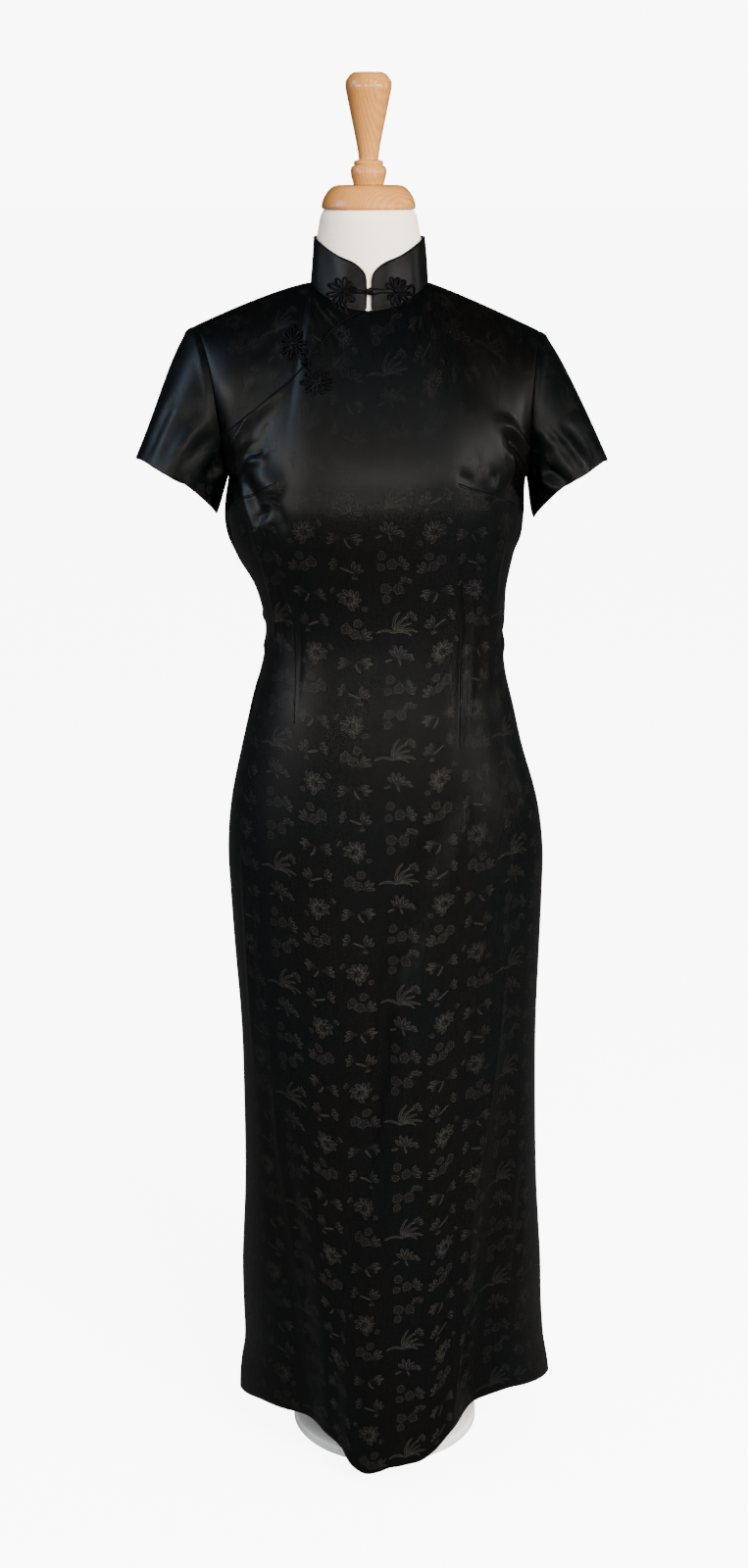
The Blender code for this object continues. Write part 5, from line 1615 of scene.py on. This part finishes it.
def neck_grid(side, start, u):
    """Neck of the form from the torso's top line up to the cap."""
    turn = 0.5 * math.pi * u / NECK_SHARE
    rows = [start]
    heights = np.linspace(NECK_RINGS[0].height, NECK_RINGS[-1].height, NECK_ROWS)
    for height, half, depth in read_table(NECK_RINGS, heights):
        shift = NECK_X + (NECK_X_CAP - NECK_X) * ease((height - 1.38) / 0.05)
        rows.append(join(shift + half * np.sin(turn), side * depth * np.cos(turn), height))
    return np.stack(rows, axis=1)


def make_form(material):
    u = np.linspace(-1.0, 1.0, FORM_COLUMNS)
    low = (FORM_BOTTOM - HEM) / (ARMPIT - HEM)
    below = np.linspace(low, 1.0, FORM_ROWS, endpoint=False)
    v = np.concatenate((below, np.linspace(1.0, 2.0, SHOULDER_ROWS)))
    ahead = form_grid(FRONT, u, v)
    behind = form_grid(BACK, u, v)
    sides = (np.abs(u[:, None]) > 0.999) & (v <= 1.0)
    shoulders = (np.abs(u[:, None]) > NECK_SHARE - 0.001) & (v >= 2.0)
    joined = sides | shoulders
    middle = 0.5 * (ahead + behind)
    middle[..., 1] = 0.0
    ahead[joined] = middle[joined]
    behind[joined] = middle[joined]
    neck = np.abs(u) <= NECK_SHARE + 0.001
    share = np.linspace(0.0, 1.0, 15)[:, None, None]
    grids = [ahead, behind]
    grids += [neck_grid(FRONT, ahead[neck, -1], u[neck]), neck_grid(BACK, behind[neck, -1], u[neck])]
    for column in (0, -1):
        start = ahead[column, FORM_ROWS:]
        grids.append(start + (behind[column, FORM_ROWS:] - start) * share)
    shape = bmesh.new()
    for points in grids:
        columns, rows = points.shape[:2]
        corners = [shape.verts.new(point) for point in points.reshape(-1, 3)]
        for i in range(columns - 1):
            for j in range(rows - 1):
                k = i * rows + j
                shape.faces.new((corners[k], corners[k + rows], corners[k + rows + 1], corners[k + 1]))
    bmesh.ops.remove_doubles(shape, verts=shape.verts, dist=0.00005)
    bmesh.ops.holes_fill(shape, edges=[edge for edge in shape.edges if edge.is_boundary], sides=0)
    bmesh.ops.triangulate(shape, faces=[face for face in shape.faces if len(face.verts) > 4])
    bmesh.ops.recalc_face_normals(shape, faces=shape.faces)
    mesh = bpy.data.meshes.new("form_cover")
    shape.to_mesh(mesh)
    shape.free()
    mesh.shade_smooth()
    mesh.set_sharp_from_angle(angle=math.radians(50))
    return finish_piece(add_object("form_cover", mesh), material, "form_cover", "form_body")


make_form(jersey)

# Turned pieces: each run of a profile is smooth, and two runs meet in a crisp edge
CAP_RUNS = (
    ((0.0, 1.4680), (0.0160, 1.4680), (0.0322, 1.4679)),
    ((0.0322, 1.4679), (0.0368, 1.4668), (0.0412, 1.4636), (0.0448, 1.4592), (0.0475, 1.4545),
     (0.0490, 1.4500), (0.0495, 1.4470), (0.0492, 1.4448)),
    ((0.0492, 1.4448), (0.0489, 1.4440)),
    ((0.0489, 1.4440), (0.0240, 1.4440), (0.0, 1.4440)),
)
FINIAL_RUNS = (
    ((0.0, 1.5810), (0.0080, 1.5810), (0.0140, 1.5808)),
    ((0.0140, 1.5808), (0.0165, 1.5800), (0.0190, 1.5784), (0.0207, 1.5764)),
    ((0.0207, 1.5764), (0.0208, 1.5757), (0.0216, 1.5752)),
    ((0.0216, 1.5752), (0.0231, 1.5732), (0.0240, 1.5700), (0.0238, 1.5640), (0.0222, 1.5560),
     (0.0197, 1.5440), (0.0166, 1.5290), (0.0137, 1.5150), (0.0115, 1.5030), (0.0104, 1.4946)),
    ((0.0104, 1.4946), (0.0105, 1.4938), (0.0112, 1.4934)),
    ((0.0112, 1.4934), (0.0142, 1.4926), (0.0156, 1.4908), (0.0152, 1.4888)),
    ((0.0152, 1.4888), (0.0151, 1.4881), (0.0158, 1.4876)),
    ((0.0158, 1.4876), (0.0179, 1.4862), (0.0188, 1.4832), (0.0187, 1.4795), (0.0178, 1.4750),
     (0.0166, 1.4710), (0.0160, 1.4683)),
    ((0.0160, 1.4683), (0.0080, 1.4683), (0.0, 1.4683)),
)
POLE_RUNS = (
    ((0.0, 0.6617), (0.0125, 0.6617)),
    ((0.0125, 0.6617), (0.0125, 0.0123)),
    ((0.0125, 0.0123), (0.0, 0.0123)),
)
BASE_RUNS = (
    ((0.0, 0.0120), (0.0540, 0.0120), (0.1085, 0.0120)),
    ((0.1085, 0.0120), (0.1108, 0.0111), (0.1120, 0.0088)),
    ((0.1120, 0.0088), (0.1120, 0.0012)),
    ((0.1120, 0.0012), (0.1110, 0.0)),
    ((0.1110, 0.0), (0.0, 0.0)),
)
BASE_Y = 0.020


def make_turned(name, runs, x, y, material, slot, node):
    """Turned piece from the runs of its profile, read from the top down its outer side."""
    turn = np.linspace(0.0, 2.0 * math.pi, 97)[:-1]
    profile = [through(run, 5) for run in runs]
    line = np.concatenate([profile[0]] + [run[1:] for run in profile[1:]])
    points = join(x + np.outer(np.cos(turn), line[:, 0]), y + np.outer(np.sin(turn), line[:, 0]), line[:, 1])
    item = mesh_from_grid(name, points, np.zeros((*points.shape[:2], 2)), closed=True)
    shape = bmesh.new()
    shape.from_mesh(item.data)
    bmesh.ops.remove_doubles(shape, verts=shape.verts, dist=0.00002)
    bmesh.ops.recalc_face_normals(shape, faces=shape.faces)
    shape.to_mesh(item.data)
    shape.free()
    item.data.shade_smooth()
    item.data.set_sharp_from_angle(angle=math.radians(28))
    return finish_piece(item, material, slot, node)


make_turned("cap_turned", CAP_RUNS, NECK_X_CAP, 0.0, wood, "wood", "neck_cap")
make_turned("finial_turned", FINIAL_RUNS, NECK_X_CAP, 0.0, wood, "wood", "finial")
make_turned("pole_turned", POLE_RUNS, 0.0, 0.0, steel, "steel", "pole")
make_turned("base_turned", BASE_RUNS, 0.0, BASE_Y, steel, "steel", "base")

# Floor, light and camera
CAMERA_BACK = 2.4
CAMERA_HEIGHT = 1.503
CAMERA_X = -0.013
CAMERA_TILT = math.radians(16)
LENS_MM = 50.74
FLOOR_HALF = 60.0
BACKGROUND = 9.0
FILL = 0.45
SHEEN_FILL = 0.025
FLOOR_GLOW = 7.4
FLOOR_UNSEEN = 0.05


def light_path(tree, kind):
    return Wire(tree, tree.nodes.new("ShaderNodeLightPath").outputs[kind])


def make_stage():
    """Pale floor that reaches the horizon, under an even sky. Reflections show both darker."""
    material, tree, shader = new_material("pale_floor", (0.84, 0.84, 0.84), 0.95)
    speckle = add_noise(tree, object_place(tree), 3.0, 2.0)
    pale = tinted(tree, speckle, (0.83, 0.83, 0.83), (0.86, 0.86, 0.855))
    seen = light_path(tree, "Is Camera Ray")
    plug(tree, tinted(tree, seen, (FLOOR_UNSEEN, FLOOR_UNSEEN, FLOOR_UNSEEN), pale), shader["Base Color"])
    shader["Emission Color"].default_value = (1.0, 1.0, 1.0, 1.0)
    plug(tree, seen * FLOOR_GLOW, shader["Emission Strength"])
    mesh = bpy.data.meshes.new("floor")
    half = FLOOR_HALF
    mesh.from_pydata([(-half, -half, -0.0005), (half, -half, -0.0005), (half, half, -0.0005),
                      (-half, half, -0.0005)], [], [(0, 1, 2, 3)])
    mesh.materials.append(material)
    add_object("floor", mesh)
    world = bpy.data.worlds.new("studio")
    world.use_nodes = True
    tree = world.node_tree
    strength = (light_path(tree, "Is Camera Ray") * (BACKGROUND - FILL)
                + light_path(tree, "Is Glossy Ray") * (SHEEN_FILL - FILL) + FILL)
    plug(tree, strength, tree.nodes["Background"].inputs["Strength"])
    tree.nodes["Background"].inputs["Color"].default_value = (1.0, 1.0, 1.0, 1.0)
    bpy.context.scene.world = world


def aim(item, heading):
    item.rotation_mode = "QUATERNION"
    item.rotation_quaternion = Vector(heading).to_track_quat("-Z", "Y")


# The soft key shows no highlight of its own: the strips and boxes draw those.
Light = namedtuple("Light", "name place target wide tall power colour highlight")
LIGHTS = (
    Light("soft_key", (1.7, -3.0, 2.5), (0.0, 0.0, 1.1), 1.8, 1.6, 500.0, (1.0, 0.95, 0.89), False),
    Light("bust_strip", (0.1, -2.8, 1.40), (0.0, -0.1, 1.15), 2.6, 0.10, 22.0, (1.0, 0.95, 0.88), True),
    Light("strip_left", (-2.2, -1.7, 1.44), (0.0, -0.1, 1.15), 1.6, 0.10, 18.0, (1.0, 0.96, 0.90), True),
    Light("strip_right", (2.3, -1.6, 1.44), (0.0, -0.1, 1.15), 1.6, 0.10, 22.0, (1.0, 0.95, 0.88), True),
    Light("upper_box", (-0.2, -2.9, 3.0), (0.0, 0.0, 1.25), 2.8, 0.7, 6.0, (0.88, 0.96, 1.0), True),
    Light("right_box", (2.9, 0.5, 1.5), (0.1, 0.0, 0.95), 0.4, 0.7, 5.0, (1.0, 0.98, 0.95), True),
    Light("left_box", (-2.9, 0.5, 1.6), (-0.1, 0.0, 1.0), 0.25, 0.7, 2.0, (0.86, 0.93, 1.0), True),
    Light("window", (-2.9, -0.7, 2.3), (-0.2, 0.0, 1.25), 1.3, 1.3, 30.0, (0.52, 0.70, 1.0), True),
)
CEILING_POWER = 2.8


def add_light(light):
    data = bpy.data.lights.new(light.name, "AREA")
    data.shape = "RECTANGLE"
    data.size = light.wide
    data.size_y = light.tall
    data.energy = light.power
    data.color = light.colour
    item = bpy.data.objects.new(light.name, data)
    bpy.context.collection.objects.link(item)
    item.location = light.place
    item.visible_glossy = light.highlight
    aim(item, np.subtract(light.target, light.place).tolist())


def add_ceiling():
    """Very soft light from above that also lights the whole floor evenly."""
    data = bpy.data.lights.new("ceiling", "SUN")
    data.energy = CEILING_POWER
    data.angle = math.radians(80)
    item = bpy.data.objects.new("ceiling", data)
    bpy.context.collection.objects.link(item)
    item.visible_glossy = False
    aim(item, (-0.05, 0.15, -1.0))


def add_camera():
    data = bpy.data.cameras.new("camera")
    data.lens = LENS_MM
    data.sensor_width = 36.0
    data.clip_end = 200.0
    camera = bpy.data.objects.new("camera", data)
    bpy.context.collection.objects.link(camera)
    camera.location = (CAMERA_X, -CAMERA_BACK, CAMERA_HEIGHT)
    camera.rotation_euler = (0.5 * math.pi - CAMERA_TILT, 0.0, 0.0)
    bpy.context.scene.camera = camera


make_stage()
for light in LIGHTS:
    add_light(light)
add_ceiling()
add_camera()
